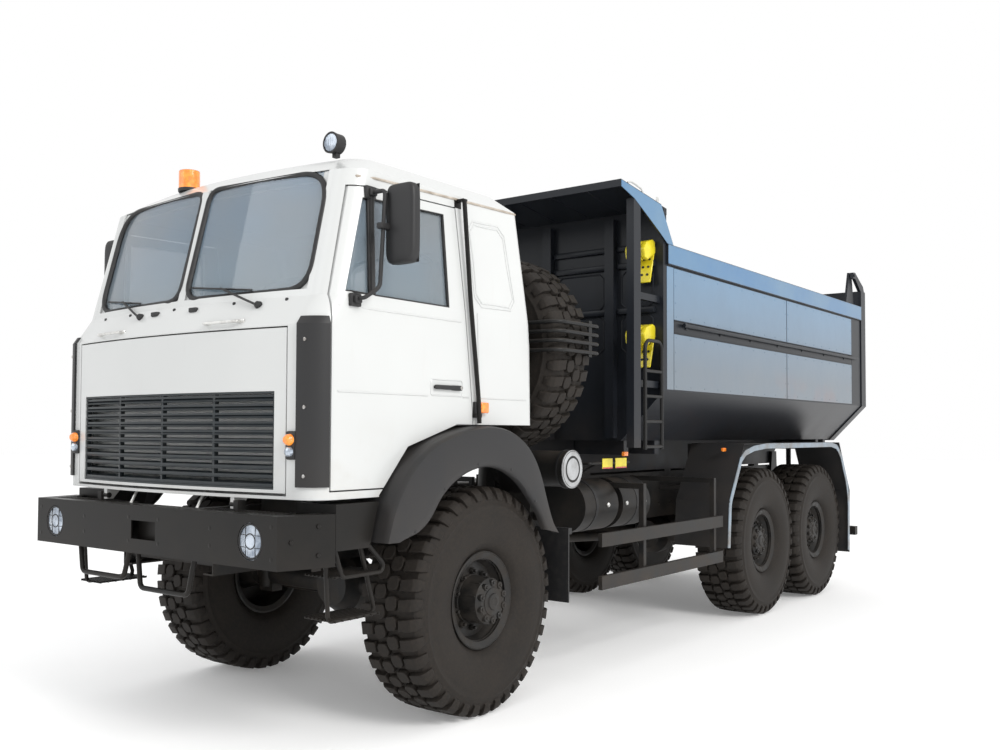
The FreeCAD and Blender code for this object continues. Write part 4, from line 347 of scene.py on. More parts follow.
    line = Finish("gutter_sealant", (0.42, 0.37, 0.31), 0.6)
    line.base(line.mix(line.ramp(line.noise(16.0, 5.0), 0.35, 0.7), (0.50, 0.45, 0.39), (0.30, 0.25, 0.20)))


# Shapes: each is a list of corners and a list of faces

def merged(shapes):
    verts, faces = [], []
    for part_verts, part_faces in shapes:
        base = len(verts)
        verts.extend(Vector(v) for v in part_verts)
        faces.extend(tuple(base + n for n in face) for face in part_faces)
    return verts, faces


def moved(shape, matrix):
    return [matrix @ Vector(v) for v in shape[0]], shape[1]


def at(x, y, z):
    return Matrix.Translation((x, y, z))


def flipped(shape):
    """The same shape on the vehicle's other side, its faces still outwards."""
    return [Vector((-v[0], v[1], v[2])) for v in shape[0]], [tuple(reversed(face)) for face in shape[1]]


def both_sides(*shapes):
    return [*shapes, *[flipped(shape) for shape in shapes]]


def from_bmesh(bm):
    bmesh.ops.recalc_face_normals(bm, faces=bm.faces[:])
    bm.verts.index_update()
    shape = ([v.co.copy() for v in bm.verts], [tuple(v.index for v in f.verts) for f in bm.faces])
    bm.free()
    return shape


def block(low, high, bevel=0.0, segments=2):
    bm = bmesh.new()
    bmesh.ops.create_cube(bm, size=1.0)
    for v in bm.verts:
        v.co = Vector([(a + b) / 2 + c * (b - a) for a, b, c in zip(low, high, v.co)])
    if bevel:
        bmesh.ops.bevel(bm, geom=bm.edges[:], offset=bevel, segments=segments, profile=0.5, affect="EDGES",
                        clamp_overlap=True)
    return from_bmesh(bm)


def plate(points, axis, low, high, bevel=0.0, segments=2):
    """An outline in the plane across an axis, given thickness along it."""
    order = {"x": lambda a, b, d: (d, a, b), "y": lambda a, b, d: (a, d, b), "z": lambda a, b,
             d: (a, b, d)}[axis]
    bm = bmesh.new()
    first = [bm.verts.new(order(a, b, low)) for a, b in points]
    second = [bm.verts.new(order(a, b, high)) for a, b in points]
    count = len(points)
    bm.faces.new(first)
    bm.faces.new(list(reversed(second)))
    for n in range(count):
        bm.faces.new((first[n], first[(n + 1) % count], second[(n + 1) % count], second[n]))
    bmesh.ops.recalc_face_normals(bm, faces=bm.faces[:])
    if bevel:
        bmesh.ops.bevel(bm, geom=bm.edges[:], offset=bevel, segments=segments, profile=0.5, affect="EDGES",
                        clamp_overlap=True)
    return from_bmesh(bm)


def lathe(profile, axis, centre, steps=32, closed=False):
    """A section of (along, radius) turned about an axis through a centre."""
    bm = bmesh.new()
    spin = {"x": lambda a, c, s: (a, c, s), "y": lambda a, c, s: (s, a, c), "z": lambda a, c,
            s: (c, s, a)}[axis]
    rings = []
    for along, radius in profile:
        if radius < 1e-6:
            rings.append([bm.verts.new(spin(along, 0.0, 0.0))])
        else:
            turns = [2 * math.pi * n / steps for n in range(steps)]
            rings.append([bm.verts.new(spin(along, radius * math.cos(turn), radius * math.sin(turn)))
                          for turn in turns])
    pairs = list(zip(rings, rings[1:]))
    if closed:
        pairs.append((rings[-1], rings[0]))
    for a, b in pairs:
        for n in range(steps):
            m = (n + 1) % steps
            corners = [a[n % len(a)], a[m % len(a)], b[m % len(b)], b[n % len(b)]]
            unique = list(dict.fromkeys(corners))
            if len(unique) > 2:
                bm.faces.new(unique)
    if not closed:
        for ring in (rings[0], rings[-1]):
            if len(ring) > 1:
                bm.faces.new(ring)
    return moved(from_bmesh(bm), at(*centre))


def pipe(points, radius, bend=0.0, sides=8, closed=False):
    """A round tube along a route, made from a curve; its corners are eased by a bend."""
    curve = bpy.data.curves.new("route", "CURVE")
    curve.dimensions = "3D"
    curve.bevel_depth = radius
    curve.bevel_resolution = max(0, sides // 4)
    curve.use_fill_caps = not closed
    curve.resolution_u = 5
    route = [Vector(p) for p in points]
    if bend:
        eased = [route[0]]
        for before, corner, after in zip(route, route[1:], route[2:]):
            back, ahead = before - corner, after - corner
            eased.append(corner + back.normalized() * min(bend, back.length * 0.45))
            eased.append(corner)
            eased.append(corner + ahead.normalized() * min(bend, ahead.length * 0.45))
        route = [*eased, route[-1]]
    spline = curve.splines.new("NURBS" if bend else "POLY")
    spline.points.add(len(route) - 1)
    for point, place in zip(spline.points, route):
        point.co = (*place, 1.0)
    if bend:
        spline.order_u = 3
        spline.use_endpoint_u = True
    spline.use_cyclic_u = closed
    thing = bpy.data.objects.new("route", curve)
    bpy.context.collection.objects.link(thing)
    mesh = bpy.data.meshes.new_from_object(thing.evaluated_get(bpy.context.evaluated_depsgraph_get()))
    bm = bmesh.new()
    bm.from_mesh(mesh)
    bmesh.ops.remove_doubles(bm, verts=bm.verts[:], dist=1e-5)
    bpy.data.objects.remove(thing)
    bpy.data.curves.remove(curve)
    bpy.data.meshes.remove(mesh)
    return from_bmesh(bm)


def lofted(sections):
    """A closed section carried through stations, with both ends closed."""
    bm = bmesh.new()
    rings = [[bm.verts.new(p) for p in section] for section in sections]
    for a, b in zip(rings, rings[1:]):
        for n in range(len(a)):
            m = (n + 1) % len(a)
            bm.faces.new((a[n], a[m], b[m], b[n]))
    bm.faces.new(rings[0])
    bm.faces.new(list(reversed(rings[-1])))
    return from_bmesh(bm)


def corners_cut(points, rounds=3):
    """An open route with its corners cut again and again, which rounds them."""
    route = [Vector(p) for p in points]
    for _ in range(rounds):
        eased = [route[0]]
        for a, b in zip(route, route[1:]):
            eased.extend((a.lerp(b, 0.25), a.lerp(b, 0.75)))
        route = [*eased, route[-1]]
    return route


def evenly(points, count):
    """Points at equal distances along a route."""
    route = [Vector(p) for p in points]
    reach = [0.0]
    for a, b in zip(route, route[1:]):
        reach.append(reach[-1] + (b - a).length)
    result, here = [], 0
    for n in range(count):
        want = reach[-1] * n / (count - 1)
        while here < len(route) - 2 and reach[here + 1] < want:
            here += 1
        span = reach[here + 1] - reach[here]
        result.append(route[here].lerp(route[here + 1], (want - reach[here]) / span if span else 0.0))
    return result


def slab(points, offset):
    """A flat outline in space, given thickness by an offset."""
    return lofted([[Vector(p) for p in points], [Vector(p) + Vector(offset) for p in points]])


def bolt(centre, axis, radius, height, sign=1):
    """A hexagon head standing on a face, rounded at its top."""
    profile = [(0.0, radius), (sign * height * 0.75, radius), (sign * height, radius * 0.8),
               (sign * height, 0.0)]
    return lathe(profile, axis, centre, 6)


def mesh_of(name, shape, material):
    mesh = bpy.data.meshes.new(name)
    mesh.from_pydata([tuple(v) for v in shape[0]], [], shape[1])
    mesh.materials.append(MADE[material])
    mesh.validate()
    mesh.update()
    return mesh


def piece(name, shapes, body, material, replaces=(), sharp=35):
    """A finished piece on its body; its object stays at the origin."""
    shape = merged(shapes) if isinstance(shapes, list) else shapes
    thing = bpy.data.objects.new(name, mesh_of(name, shape, material))
    bpy.context.collection.objects.link(thing)
    thing.data.shade_smooth()
    thing.data.set_sharp_from_angle(angle=math.radians(sharp))
    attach(thing, body)
    if replaces:
        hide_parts(*replaces)
    return thing


# Repeats, made by one Geometry Nodes tree

def repeat_tree():
    tree = bpy.data.node_groups.get("Row of repeats")
    if tree:
        return tree
    tree = bpy.data.node_groups.new("Row of repeats", "GeometryNodeTree")
    face = tree.interface
    face.new_socket(name="Geometry", in_out="INPUT", socket_type="NodeSocketGeometry")
    face.new_socket(name="Count", in_out="INPUT", socket_type="NodeSocketInt")
    face.new_socket(name="Start", in_out="INPUT", socket_type="NodeSocketVector")
    face.new_socket(name="Step", in_out="INPUT", socket_type="NodeSocketVector")
    face.new_socket(name="Turn", in_out="INPUT", socket_type="NodeSocketVector")
    face.new_socket(name="Material", in_out="INPUT", socket_type="NodeSocketMaterial")
    face.new_socket(name="Geometry", in_out="OUTPUT", socket_type="NodeSocketGeometry")
    nodes, links = tree.nodes, tree.links
    given = nodes.new("NodeGroupInput")
    out = nodes.new("NodeGroupOutput")
    number = nodes.new("GeometryNodeInputIndex")
    points = nodes.new("GeometryNodePoints")
    links.new(given.outputs["Count"], points.inputs["Count"])
    step = nodes.new("ShaderNodeVectorMath")
    step.operation = "MULTIPLY"
    links.new(given.outputs["Step"], step.inputs[0])
    links.new(number.outputs["Index"], step.inputs[1])
    place = nodes.new("ShaderNodeVectorMath")
    place.operation = "ADD"
    links.new(step.outputs["Vector"], place.inputs[0])
    links.new(given.outputs["Start"], place.inputs[1])
    links.new(place.outputs["Vector"], points.inputs["Position"])
    turn = nodes.new("ShaderNodeVectorMath")
    turn.operation = "MULTIPLY"
    links.new(given.outputs["Turn"], turn.inputs[0])
    links.new(number.outputs["Index"], turn.inputs[1])
    spin = nodes.new("FunctionNodeEulerToRotation")
    links.new(turn.outputs["Vector"], spin.inputs["Euler"])
    copies = nodes.new("GeometryNodeInstanceOnPoints")
    links.new(points.outputs[0], copies.inputs["Points"])
    links.new(given.outputs["Geometry"], copies.inputs["Instance"])
    links.new(spin.outputs["Rotation"], copies.inputs["Rotation"])
    real = nodes.new("GeometryNodeRealizeInstances")
    links.new(copies.outputs["Instances"], real.inputs["Geometry"])
    finish = nodes.new("GeometryNodeSetMaterial")
    links.new(real.outputs["Geometry"], finish.inputs["Geometry"])
    links.new(given.outputs["Material"], finish.inputs["Material"])
    links.new(finish.outputs["Geometry"], out.inputs["Geometry"])
    return tree


def repeated(shape, count, step=(0, 0, 0), turn=(0, 0, 0), start=(0, 0, 0), material="bare_steel"):
    """Copies of a shape in a row or a ring, as one shape again."""
    tree = repeat_tree()
    thing = bpy.data.objects.new("repeat", mesh_of("repeat", shape, material))
    bpy.context.collection.objects.link(thing)
    modifier = thing.modifiers.new("repeat", "NODES")
    modifier.node_group = tree
    wanted = {"Count": count, "Start": start, "Step": step, "Turn": turn, "Material": MADE[material]}
    for socket in tree.interface.items_tree:
        if socket.in_out == "INPUT" and socket.name in wanted:
            modifier[socket.identifier] = wanted[socket.name]
    mesh = bpy.data.meshes.new_from_object(thing.evaluated_get(bpy.context.evaluated_depsgraph_get()))
    result = ([v.co.copy() for v in mesh.vertices], [tuple(p.vertices) for p in mesh.polygons])
    thing.modifiers.remove(modifier)
    bpy.data.objects.remove(thing)
    bpy.data.meshes.remove(mesh)
    return result


# What the CAD nodes' own surfaces say

def surface_of(node):
    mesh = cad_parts[node].data
    return BVHTree.FromPolygons([v.co.copy() for v in mesh.vertices],
                                [tuple(p.vertices) for p in mesh.polygons])


def touch(surface, start, way):
    """Where a ray first meets a node's surface."""
    place = surface.ray_cast(Vector(start), Vector(way))[0]
    if place is None:
        raise RuntimeError(f"no surface ahead of {tuple(start)}")
    return place


def pane_edges(node, keep):
    """Closed routes round the faces of a node that a test keeps."""
    bm = bmesh.new()
    bm.from_mesh(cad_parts[node].data)
    bmesh.ops.remove_doubles(bm, verts=bm.verts[:], dist=1e-5)
    bm.normal_update()
    bmesh.ops.delete(bm, geom=[f for f in bm.faces if not keep(f)], context="FACES")
    bm.edges.index_update()
    edges = {e.index: e for e in bm.edges if len(e.link_faces) == 1}
    routes = []
    while edges:
        edge = edges.pop(min(edges))
        first, here = edge.verts
        route = [first.co.copy(), here.co.copy()]
        while here is not first:
            ahead = next((e for e in here.link_edges if e.index in edges), None)
            if ahead is None:
                break
            del edges[ahead.index]
            here = ahead.other_vert(here)
            route.append(here.co.copy())
        if len(route) > 4:
            routes.append(route[:-1])
    bm.free()
    return routes


def thinned(route, gap):
    """A route without the points that crowd closer than a gap."""
    kept = [route[0]]
    for place in route[1:]:
        if (place - kept[-1]).length > gap:
            kept.append(place)
    return kept


# Wheels

def lug(section, halves, shift):
    """A lug on one shoulder: its section across the tread, and its half width at each corner."""
    verts = []
    for (x, r), half, lean in zip(section, halves, shift):
        verts.append(Vector((x, lean - half, r)))
    for (x, r), half, lean in zip(section, halves, shift):
        verts.append(Vector((x, lean + half, r)))
    count = len(section)
    bm = bmesh.new()
    made = [bm.verts.new(v) for v in verts]
    bm.faces.new(made[:count])
    bm.faces.new(list(reversed(made[count:])))
    for n in range(count):
        m = (n + 1) % count
        bm.faces.new((made[n], made[n + count], made[m + count], made[m]))
    bmesh.ops.recalc_face_normals(bm, faces=bm.faces[:])
    bmesh.ops.bevel(bm, geom=bm.edges[:], offset=0.0028, segments=1, affect="EDGES", clamp_overlap=True)
    return from_bmesh(bm)


def tread_pitch(radius, lugs):
    """One shoulder lug and one block of the middle rows for each side, half a pitch apart."""
    top = radius - 0.0022
    shoulder = lug(
        [(0.092, top - 0.034), (0.097, top), (0.181, top - 0.005), (0.205, top - 0.030),
         (0.2165, top - 0.072),
         (0.200, top - 0.090)],
        [0.036, 0.031, 0.035, 0.034, 0.022, 0.026], [-0.009, -0.009, 0.001, 0.004, 0.009, 0.009])
    middle = plate([(0.004, -0.024), (0.018, -0.044), (0.068, -0.037), (0.083, -0.012), (0.078, 0.026),
                    (0.060, 0.042), (0.014, 0.034), (0.000, 0.006)], "z", top - 0.036, top - 0.0006, 0.0028,
                    1)
    half = merged([shoulder, middle])
    turn = math.pi / lugs
    other = moved(half, Matrix.Rotation(turn, 4, "X") @ Matrix.Rotation(math.pi, 4, "Z"))
    return merged([half, other])


def tyre_shape(sizes):
    radius = sizes.radius
    side = [(0.149, 0.2575), (0.150, 0.290), (0.163, 0.302), (0.184, 0.318), (0.197, 0.345), (0.209, 0.390),
            (0.2165, 0.440), (0.2185, 0.480), (0.2175, 0.520), (0.2145, 0.548), (0.2175, 0.554),
            (0.2175, 0.560),
            (0.2135, 0.566), (0.2090, radius - 0.090), (0.1980, radius - 0.060), (0.1820, radius - 0.040),
            (0.1500, radius - 0.033), (0.0750, radius - 0.030)]
    ring = side + [(0.0, radius - 0.0295)] + [(-x, r) for x, r in reversed(side)]
    carcass = lathe(ring, "x", (0, 0, 0), 2 * sizes.lugs, closed=True)
    tread = repeated(tread_pitch(radius, sizes.lugs), sizes.lugs, turn=(2 * math.pi / sizes.lugs, 0, 0),
                     material="tyre_rubber")
    return merged([carcass, tread])


def spare_place():
    return at(*SPARE_PLACE) @ Matrix.Rotation(math.pi / 2, 4, "Z")


def wheel_places():
    for axle, y in AXLES.items():
        for side, sign in (("left", 1), ("right", -1)):
            spin = Matrix.Identity(4) if sign > 0 else Matrix.Rotation(math.pi, 4, "Z")
            yield f"{axle}_{side}", at(sign * TRACK_HALF, y, HUB_HEIGHT) @ spin


class TRUCK_OT_tyres(bpy.types.Operator):
    """Lugged tyres on the six wheels and on the spare"""
    bl_idname = "truck.tyres"
    bl_label = "Tyres"

    def execute(self, context):
        shape = tyre_shape(context.scene.truck_tyres)
        for place, matrix in wheel_places():
            piece(f"lugged_tyre_{place}", moved(shape, matrix), f"wheel_{place}", "tyre_rubber",
                  [f"tyre_{place}"])
        piece("lugged_tyre_spare", moved(shape, spare_place()), "chassis", "tyre_rubber",
              ["spare_tyre"])
        return {"FINISHED"}


class TRUCK_OT_hubs(bpy.types.Operator):
    """Wheel nuts, the notched hub ends and the rings on the rims"""
    bl_idname = "truck.hubs"
    bl_label = "Hubs"

    def execute(self, context):
        studs = context.scene.truck_tyres.studs
        turn = 2 * math.pi / studs
        nut = merged([bolt((0.076, 0, STUD_CIRCLE), "x", 0.019, 0.024),
                      lathe([(0.076, 0.010), (0.118, 0.010), (0.120, 0.006), (0.120, 0)], "x",
                            (0, 0, STUD_CIRCLE), 8)])
        nuts = repeated(nut, studs, turn=(turn, 0, 0), material="rim_paint_dusty")
        rings = merged([
            lathe([(0.1655, 0.2765), (0.1685, 0.280), (0.1655, 0.2855), (0.160, 0.281)], "x", (0, 0, 0), 64,
                  True),
            lathe([(0.132, 0.2425), (0.137, 0.2425), (0.137, 0.236), (0.132, 0.236)], "x", (0, 0, 0), 64,
                  True)])
        for place, matrix in wheel_places():
            proud = HUB_ENDS[place.split("_")[0]]
            lobe = lathe([(proud - 0.030, 0.021), (proud + 0.006, 0.021), (proud + 0.010, 0.017),
                          (proud + 0.010, 0)],
                         "x", (0, 0, 0.109), 10)
            lobes = repeated(lobe, 10, turn=(math.pi / 5, 0, 0), material="rim_paint_dusty")
            small = bolt((proud + 0.009, 0, 0.109), "x", 0.009, 0.007)
            bolts = repeated(small, 10, turn=(math.pi / 5, 0, 0), material="rim_paint_dusty")
            dome = lathe([(proud - 0.001, 0.082), (proud + 0.004, 0.080), (proud + 0.006, 0.050),
                          (proud + 0.014, 0.046),
                          (proud + 0.017, 0.026), (proud + 0.013, 0.018), (proud + 0.013, 0)], "x",
                          (0, 0, 0), 32)
            waist = lathe([(0.080, 0.150), (0.092, 0.146), (0.096, 0.1362), (0.086, 0.1355)], "x", (0, 0, 0),
                          40, True)
            rib = block((0.094, -0.005, 0.1352), (proud - 0.030, 0.005, 0.1400), 0.002, 1)
            ribs = repeated(rib, 10, turn=(math.pi / 5, 0, 0), start=(0, 0, 0), material="rim_paint_dusty")
            shape = merged([nuts, rings, lobes, bolts, dome, waist, ribs])
            piece(f"hub_fittings_{place}", moved(shape, matrix), f"wheel_{place}", "rim_paint_dusty")
        holes = repeated(bolt((0.0765, 0, 0.200), "x", 0.014, 0.006), 8, turn=(math.pi / 4, 0, 0),
                         material="rim_paint_dusty")
        piece("spare_rim_rings", moved(merged([rings, holes]), spare_place()), "chassis", "rim_paint_dusty")
        return {"FINISHED"}


# Cab

class TRUCK_OT_finishes(bpy.types.Operator):
    """Procedural finishes, and the fixed frame's own pieces given theirs"""
    bl_idname = "truck.finishes"
    bl_label = "Finishes"

    def execute(self, context):
        paint_finishes(context.scene.truck_colours)
        by_slot = {
            "cab_paint": "cab_paint_gloss", "bed_paint": "bed_paint_dark",
            "chassis_paint": "chassis_paint_black",
            "bumper_paint": "bumper_paint_black", "dark_plastic": "charcoal_plastic", "tyre": "tyre_rubber",
            "rim_paint": "rim_paint_dusty", "glass": "window_glass", "rubber": "seal_rubber",
            "steel": "bare_steel",
            "cabin": "cabin_fabric", "lens": "lamp_glass", "chock_yellow": "chock_plastic"}
        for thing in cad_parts.values():
            for slot in thing.material_slots:
                stem = slot.material.name.split(".")[0]
                if stem in by_slot:
                    slot.material = MADE[by_slot[stem]]
        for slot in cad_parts["grille"].material_slots:
            slot.material = MADE["grille_plastic"]
        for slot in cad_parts["cab_steps"].material_slots:
            slot.material = MADE["bumper_paint_black"]
        return {"FINISHED"}


class TRUCK_OT_seals(bpy.types.Operator):
    """Black rubber round the windscreens, the back window and the doors' panes"""
    bl_idname = "truck.seals"
    bl_label = "Window seals"

    def execute(self, context):
        radius = context.scene.truck_sizes.seal
        front = pane_edges("cab_glass", lambda f: f.normal.y < -0.5)
        back = pane_edges("cab_glass", lambda f: f.normal.y > 0.5 and f.calc_center_median().y > -2.5)
        rings = []
        patches = []
        for route in front:
            ring = []
            corners = [max(route, key=lambda p: p.x * a + p.z * b) for a,
                       b in ((-1, 1), (1, 1), (1, -1), (-1, -1))]
            outside = max(abs(p.x) for p in route)
            for before, corner, after in zip(corners[-1:] + corners, corners, corners[1:] + corners[:1]):
                outer = abs(corner.x) > outside - 0.15
                reach = (0.20 if corner.z > 2.7 else 0.15) if outer else (0.085 if corner.z > 2.7 else 0.11)
                start = corner + (before - corner).normalized() * reach
                end = corner + (after - corner).normalized() * reach
                arc = []
                for n in range(11):
                    t = n / 10
                    arc.append(start.lerp(corner, t).lerp(corner.lerp(end, t), t))
                ring.extend(arc)
                out = corner + Vector((0, -0.004, 0))
                patches.append(slab([out] + [p + Vector((0, -0.004, 0)) for p in arc], (0, 0.006, 0)))
            rings.append(pipe([p + Vector((0, -0.010, 0.001)) for p in ring], radius + 0.005, sides=8,
                              closed=True))
        piece("windscreen_corners", patches, "cab", "cab_paint_gloss")
        for route in back:
            rings.append(pipe([p + Vector((0, 0.010, 0)) for p in thinned(route, 0.03)], radius, sides=8,
                              closed=True))
        piece("windscreen_seals", rings, "cab", "seal_rubber")
        for side, sign in (("left", 1), ("right", -1)):
            edges = pane_edges(f"door_glass_{side}", lambda f: f.normal.x * sign > 0.7)
            rings = [pipe([p + Vector((sign * 0.009, 0, 0)) for p in thinned(route, 0.02)], 0.009, sides=8,
                          closed=True)
                     for route in edges]
            vent = min(edges, key=lambda route: sum(p.y for p in route) / len(route))
            bar_y = max(p.y for p in vent)
            skin = surface_of(f"door_{side}")
            spots = []
            for n in range(9):
                z = 2.375 + n * 0.064
                hit = skin.ray_cast(Vector((sign * 1.6, bar_y + 0.017, z)), Vector((-sign, 0, 0)))[0]
                if hit is not None and abs(hit.x) > 1.04:
                    spots.append(hit + Vector((sign * 0.001, 0, 0)))
            if len(spots) > 2:
                rings.append(pipe(spots, 0.019, sides=8))
            piece(f"door_window_seals_{side}", rings, f"door_{side}", "seal_rubber")
        return {"FINISHED"}


class TRUCK_OT_wipers(bpy.types.Operator):
    """Two wipers, their pivots and the plugs and jets on the scuttle"""
    bl_idname = "truck.wipers"
    bl_label = "Wipers"

    def execute(self, context):
        skin = surface_of("cab_shell")
        glass = surface_of("cab_glass")

        def on(x, z, off):
            places = []
            for surface in (skin, glass):
                hit = surface.ray_cast(Vector((x, -5.0, z)), Vector((0, 1, 0)))[0]
                if hit is not None:
                    places.append(hit.y)
            return Vector((x, min(places) - off, z))
        parts = []
        for pivot, low, high in (((0.66, 2.315), (0.07, 2.455), (0.56, 2.405)),
                                 ((-0.34, 2.315), (-0.86, 2.455), (-0.42, 2.405))):
            foot = on(*pivot, 0.0)
            parts.append(lathe([(0.004, 0.020), (-0.016, 0.020), (-0.026, 0.012), (-0.026, 0)], "y", foot,
                               16))
            middle = ((low[0] + high[0]) / 2 + 0.02, (low[1] + high[1]) / 2)
            arm = [on(*pivot, 0.022), on(pivot[0] * 0.7 + middle[0] * 0.3, pivot[1] * 0.7 + middle[1] * 0.3,
                                         0.030),
                   on(*middle, 0.026)]
            parts.append(pipe(arm, 0.0065, 0.05, 8))
            stations = [(low[0] + (high[0] - low[0]) * n / 8,
                         low[1] + (high[1] - low[1]) * n / 8) for n in range(9)]
            parts.append(pipe([on(x, z, 0.013) for x, z in stations], 0.0055, sides=6))
            parts.append(pipe([on(x, z, 0.021) for x, z in stations[2:7]], 0.0045, sides=6))
        for x in (-0.80, -0.486, -0.032, 0.464, 0.83):
            parts.append(lathe([(0.003, 0.010), (-0.005, 0.009), (-0.006, 0)], "y", on(x, 2.335, 0.0), 12))
        for x in (0.16, -0.19):
            spot = on(x, 2.325, 0.0)
            parts.append(block((x - 0.034, spot.y - 0.020, 2.308), (x + 0.028, spot.y + 0.004, 2.334), 0.006))
        piece("wipers", parts, "cab", "seal_rubber")
        bars = []
        for low, high in ((-0.70, -0.42), (0.34, 0.62)):
            feet = [on(x, 2.226, 0.0) for x in (low + 0.02, high - 0.02)]
            out = [p + Vector((0, -0.034, 0)) for p in feet]
            bars.append(pipe([feet[0] + Vector((0, 0.004, 0)), out[0], out[1],
                              feet[1] + Vector((0, 0.004, 0))],
                             0.0085, 0.025, 10))
            for foot in feet:
                bars.append(block((foot.x - 0.026, foot.y - 0.006, 2.212),
                                  (foot.x + 0.026, foot.y + 0.004, 2.240), 0.003))
        piece("scuttle_grab_bars", bars, "cab", "cap_steel")
        return {"FINISHED"}


class TRUCK_OT_cab_trim(bpy.types.Operator):
    """Gutter, side tube, pressed lines, side lamp, lamps on the roof and turn signals"""
    bl_idname = "truck.cab_trim"
    bl_label = "Cab trim"

    def execute(self, context):
        skin = surface_of("cab_shell")
        gutter = context.scene.truck_sizes.gutter
        line = []
        for n in range(15):
            y = -3.86 + n * (1.48 / 14)
            z = 2.985 + n * (0.035 / 14)
            line.append(touch(skin, (1.6, y, z), (-1, 0, 0)) + Vector((0.002, 0, 0)))
        piece("roof_gutter", both_sides(pipe(line, gutter, sides=6)), "cab", "gutter_sealant")

        frames = []
        corners = [(-2.875, 2.900), (-2.520, 2.915), (-2.405, 2.410), (-2.810, 2.400)]
        rounded = []
        for before, corner, after in zip(corners[-1:] + corners, corners, corners[1:] + corners[:1]):
            for other in (before, after):
                reach = Vector(other) - Vector(corner)
                rounded.append(Vector(corner) + reach.normalized() * 0.055)
        for shrink in (0.0, 0.022):
            middle = sum(rounded, Vector((0, 0))) / len(rounded)
            route = []
            for p, q in zip(rounded, rounded[1:] + rounded[:1]):
                for n in range(6):
                    spot = p.lerp(q, n / 6)
                    spot = spot + (middle - spot).normalized() * shrink
                    route.append(touch(skin, (1.6, spot.x, spot.y), (-1, 0, 0)))
            frames.append(pipe(route, 0.0055, sides=6, closed=True))
        crease = [touch(skin, (1.6, y, 1.862), (-1, 0, 0)) for y in (-2.80, -2.7, -2.6, -2.5, -2.4, -2.30)]
        frames.append(pipe(crease, 0.005, sides=6))
        seam = [touch(skin, (1.6, y, z), (-1, 0, 0)) for y, z in ((-2.795, 2.36), (-2.765, 1.76))]
        frames.append(pipe(seam, 0.006, sides=6))
        piece("pressed_lines", both_sides(*frames), "cab", "cab_paint_gloss")

        tube = pipe([(1.150, -2.955, 3.000), (1.150, -2.893, 2.430), (1.152, -2.815, 1.860),
                     (1.152, -2.806, 1.712)],
                    0.0135, 0.10, 10)
        bracket = [block((1.090, -2.975, 2.992), (1.158, -2.935, 3.006), 0.003),
                   block((1.088, -2.990, 2.955), (1.104, -2.925, 3.004), 0.003),
                   block((1.120, -2.840, 1.745), (1.150, -2.775, 1.772), 0.004)]
        piece("side_tube", [tube, *bracket], "cab", "bumper_paint_black")
        lamp = [block((1.122, -2.835, 1.770), (1.146, -2.795, 1.838), 0.004)]
        piece("side_lamp_back", both_sides(*lamp), "cab", "seal_rubber")
        piece("side_lamp_lens", both_sides(block((1.122, -2.794, 1.772), (1.160, -2.718, 1.836), 0.010, 3)),
              "cab",
              "amber_lens")

        backs, tops, lows = [], [], []
        for sign in (1, -1):
            x = sign * 0.966
            spot = touch(skin, (x, -5.0, 1.59), (0, 1, 0))
            backs.append(block((x - 0.031, spot.y - 0.016, 1.520), (x + 0.031, spot.y + 0.004, 1.662), 0.008,
                               2))
            dome = lathe([(-0.014, 0.030), (-0.034, 0.027), (-0.046, 0.017), (-0.050, 0)], "y",
                         (x, spot.y, 1.619), 20)
            tops.append(dome)
            lows.append(lathe([(-0.014, 0.026), (-0.030, 0.023), (-0.038, 0.014), (-0.041, 0)], "y",
                              (x, spot.y, 1.560), 20))
        piece("turn_signal_backs", backs, "cab", "seal_rubber")
        piece("turn_signal_lenses", tops, "cab", "amber_lens")
        piece("parking_lamp_lenses", lows, "cab", "lamp_glass")

        beacon = (-0.440, FRONT - 0.960, 0)
        dome = lathe([(3.150, 0), (3.150, 0.0645), (3.2562, 0.0642), (3.2602, 0.0610), (3.2608, 0.050),
                      (3.2608, 0)], "z",
                     beacon, 32)
        piece("beacon_dome", dome, "cab", "amber_lens")
        piece("beacon_base", lathe([(3.1305, 0), (3.1305, 0.066), (3.146, 0.068), (3.151, 0.066),
                                    (3.151, 0)], "z",
                                   beacon, 32), "cab", "seal_rubber")
        lamp_y = FRONT - 1.010
        rim = lathe([(0.012, 0.0565), (-0.004, 0.0585), (-0.006, 0.050), (0.002, 0.049)], "y",
                    (0.855, lamp_y, 3.205),
                    28, True)
        piece("work_lamp_rim", rim, "cab", "seal_rubber")
        piece("work_lamp_lens", lathe([(0.001, 0.050), (-0.004, 0.046), (-0.008, 0.020), (-0.0085, 0)], "y",
                                      (0.855, lamp_y, 3.205), 28), "cab", "lamp_glass")
        return {"FINISHED"}


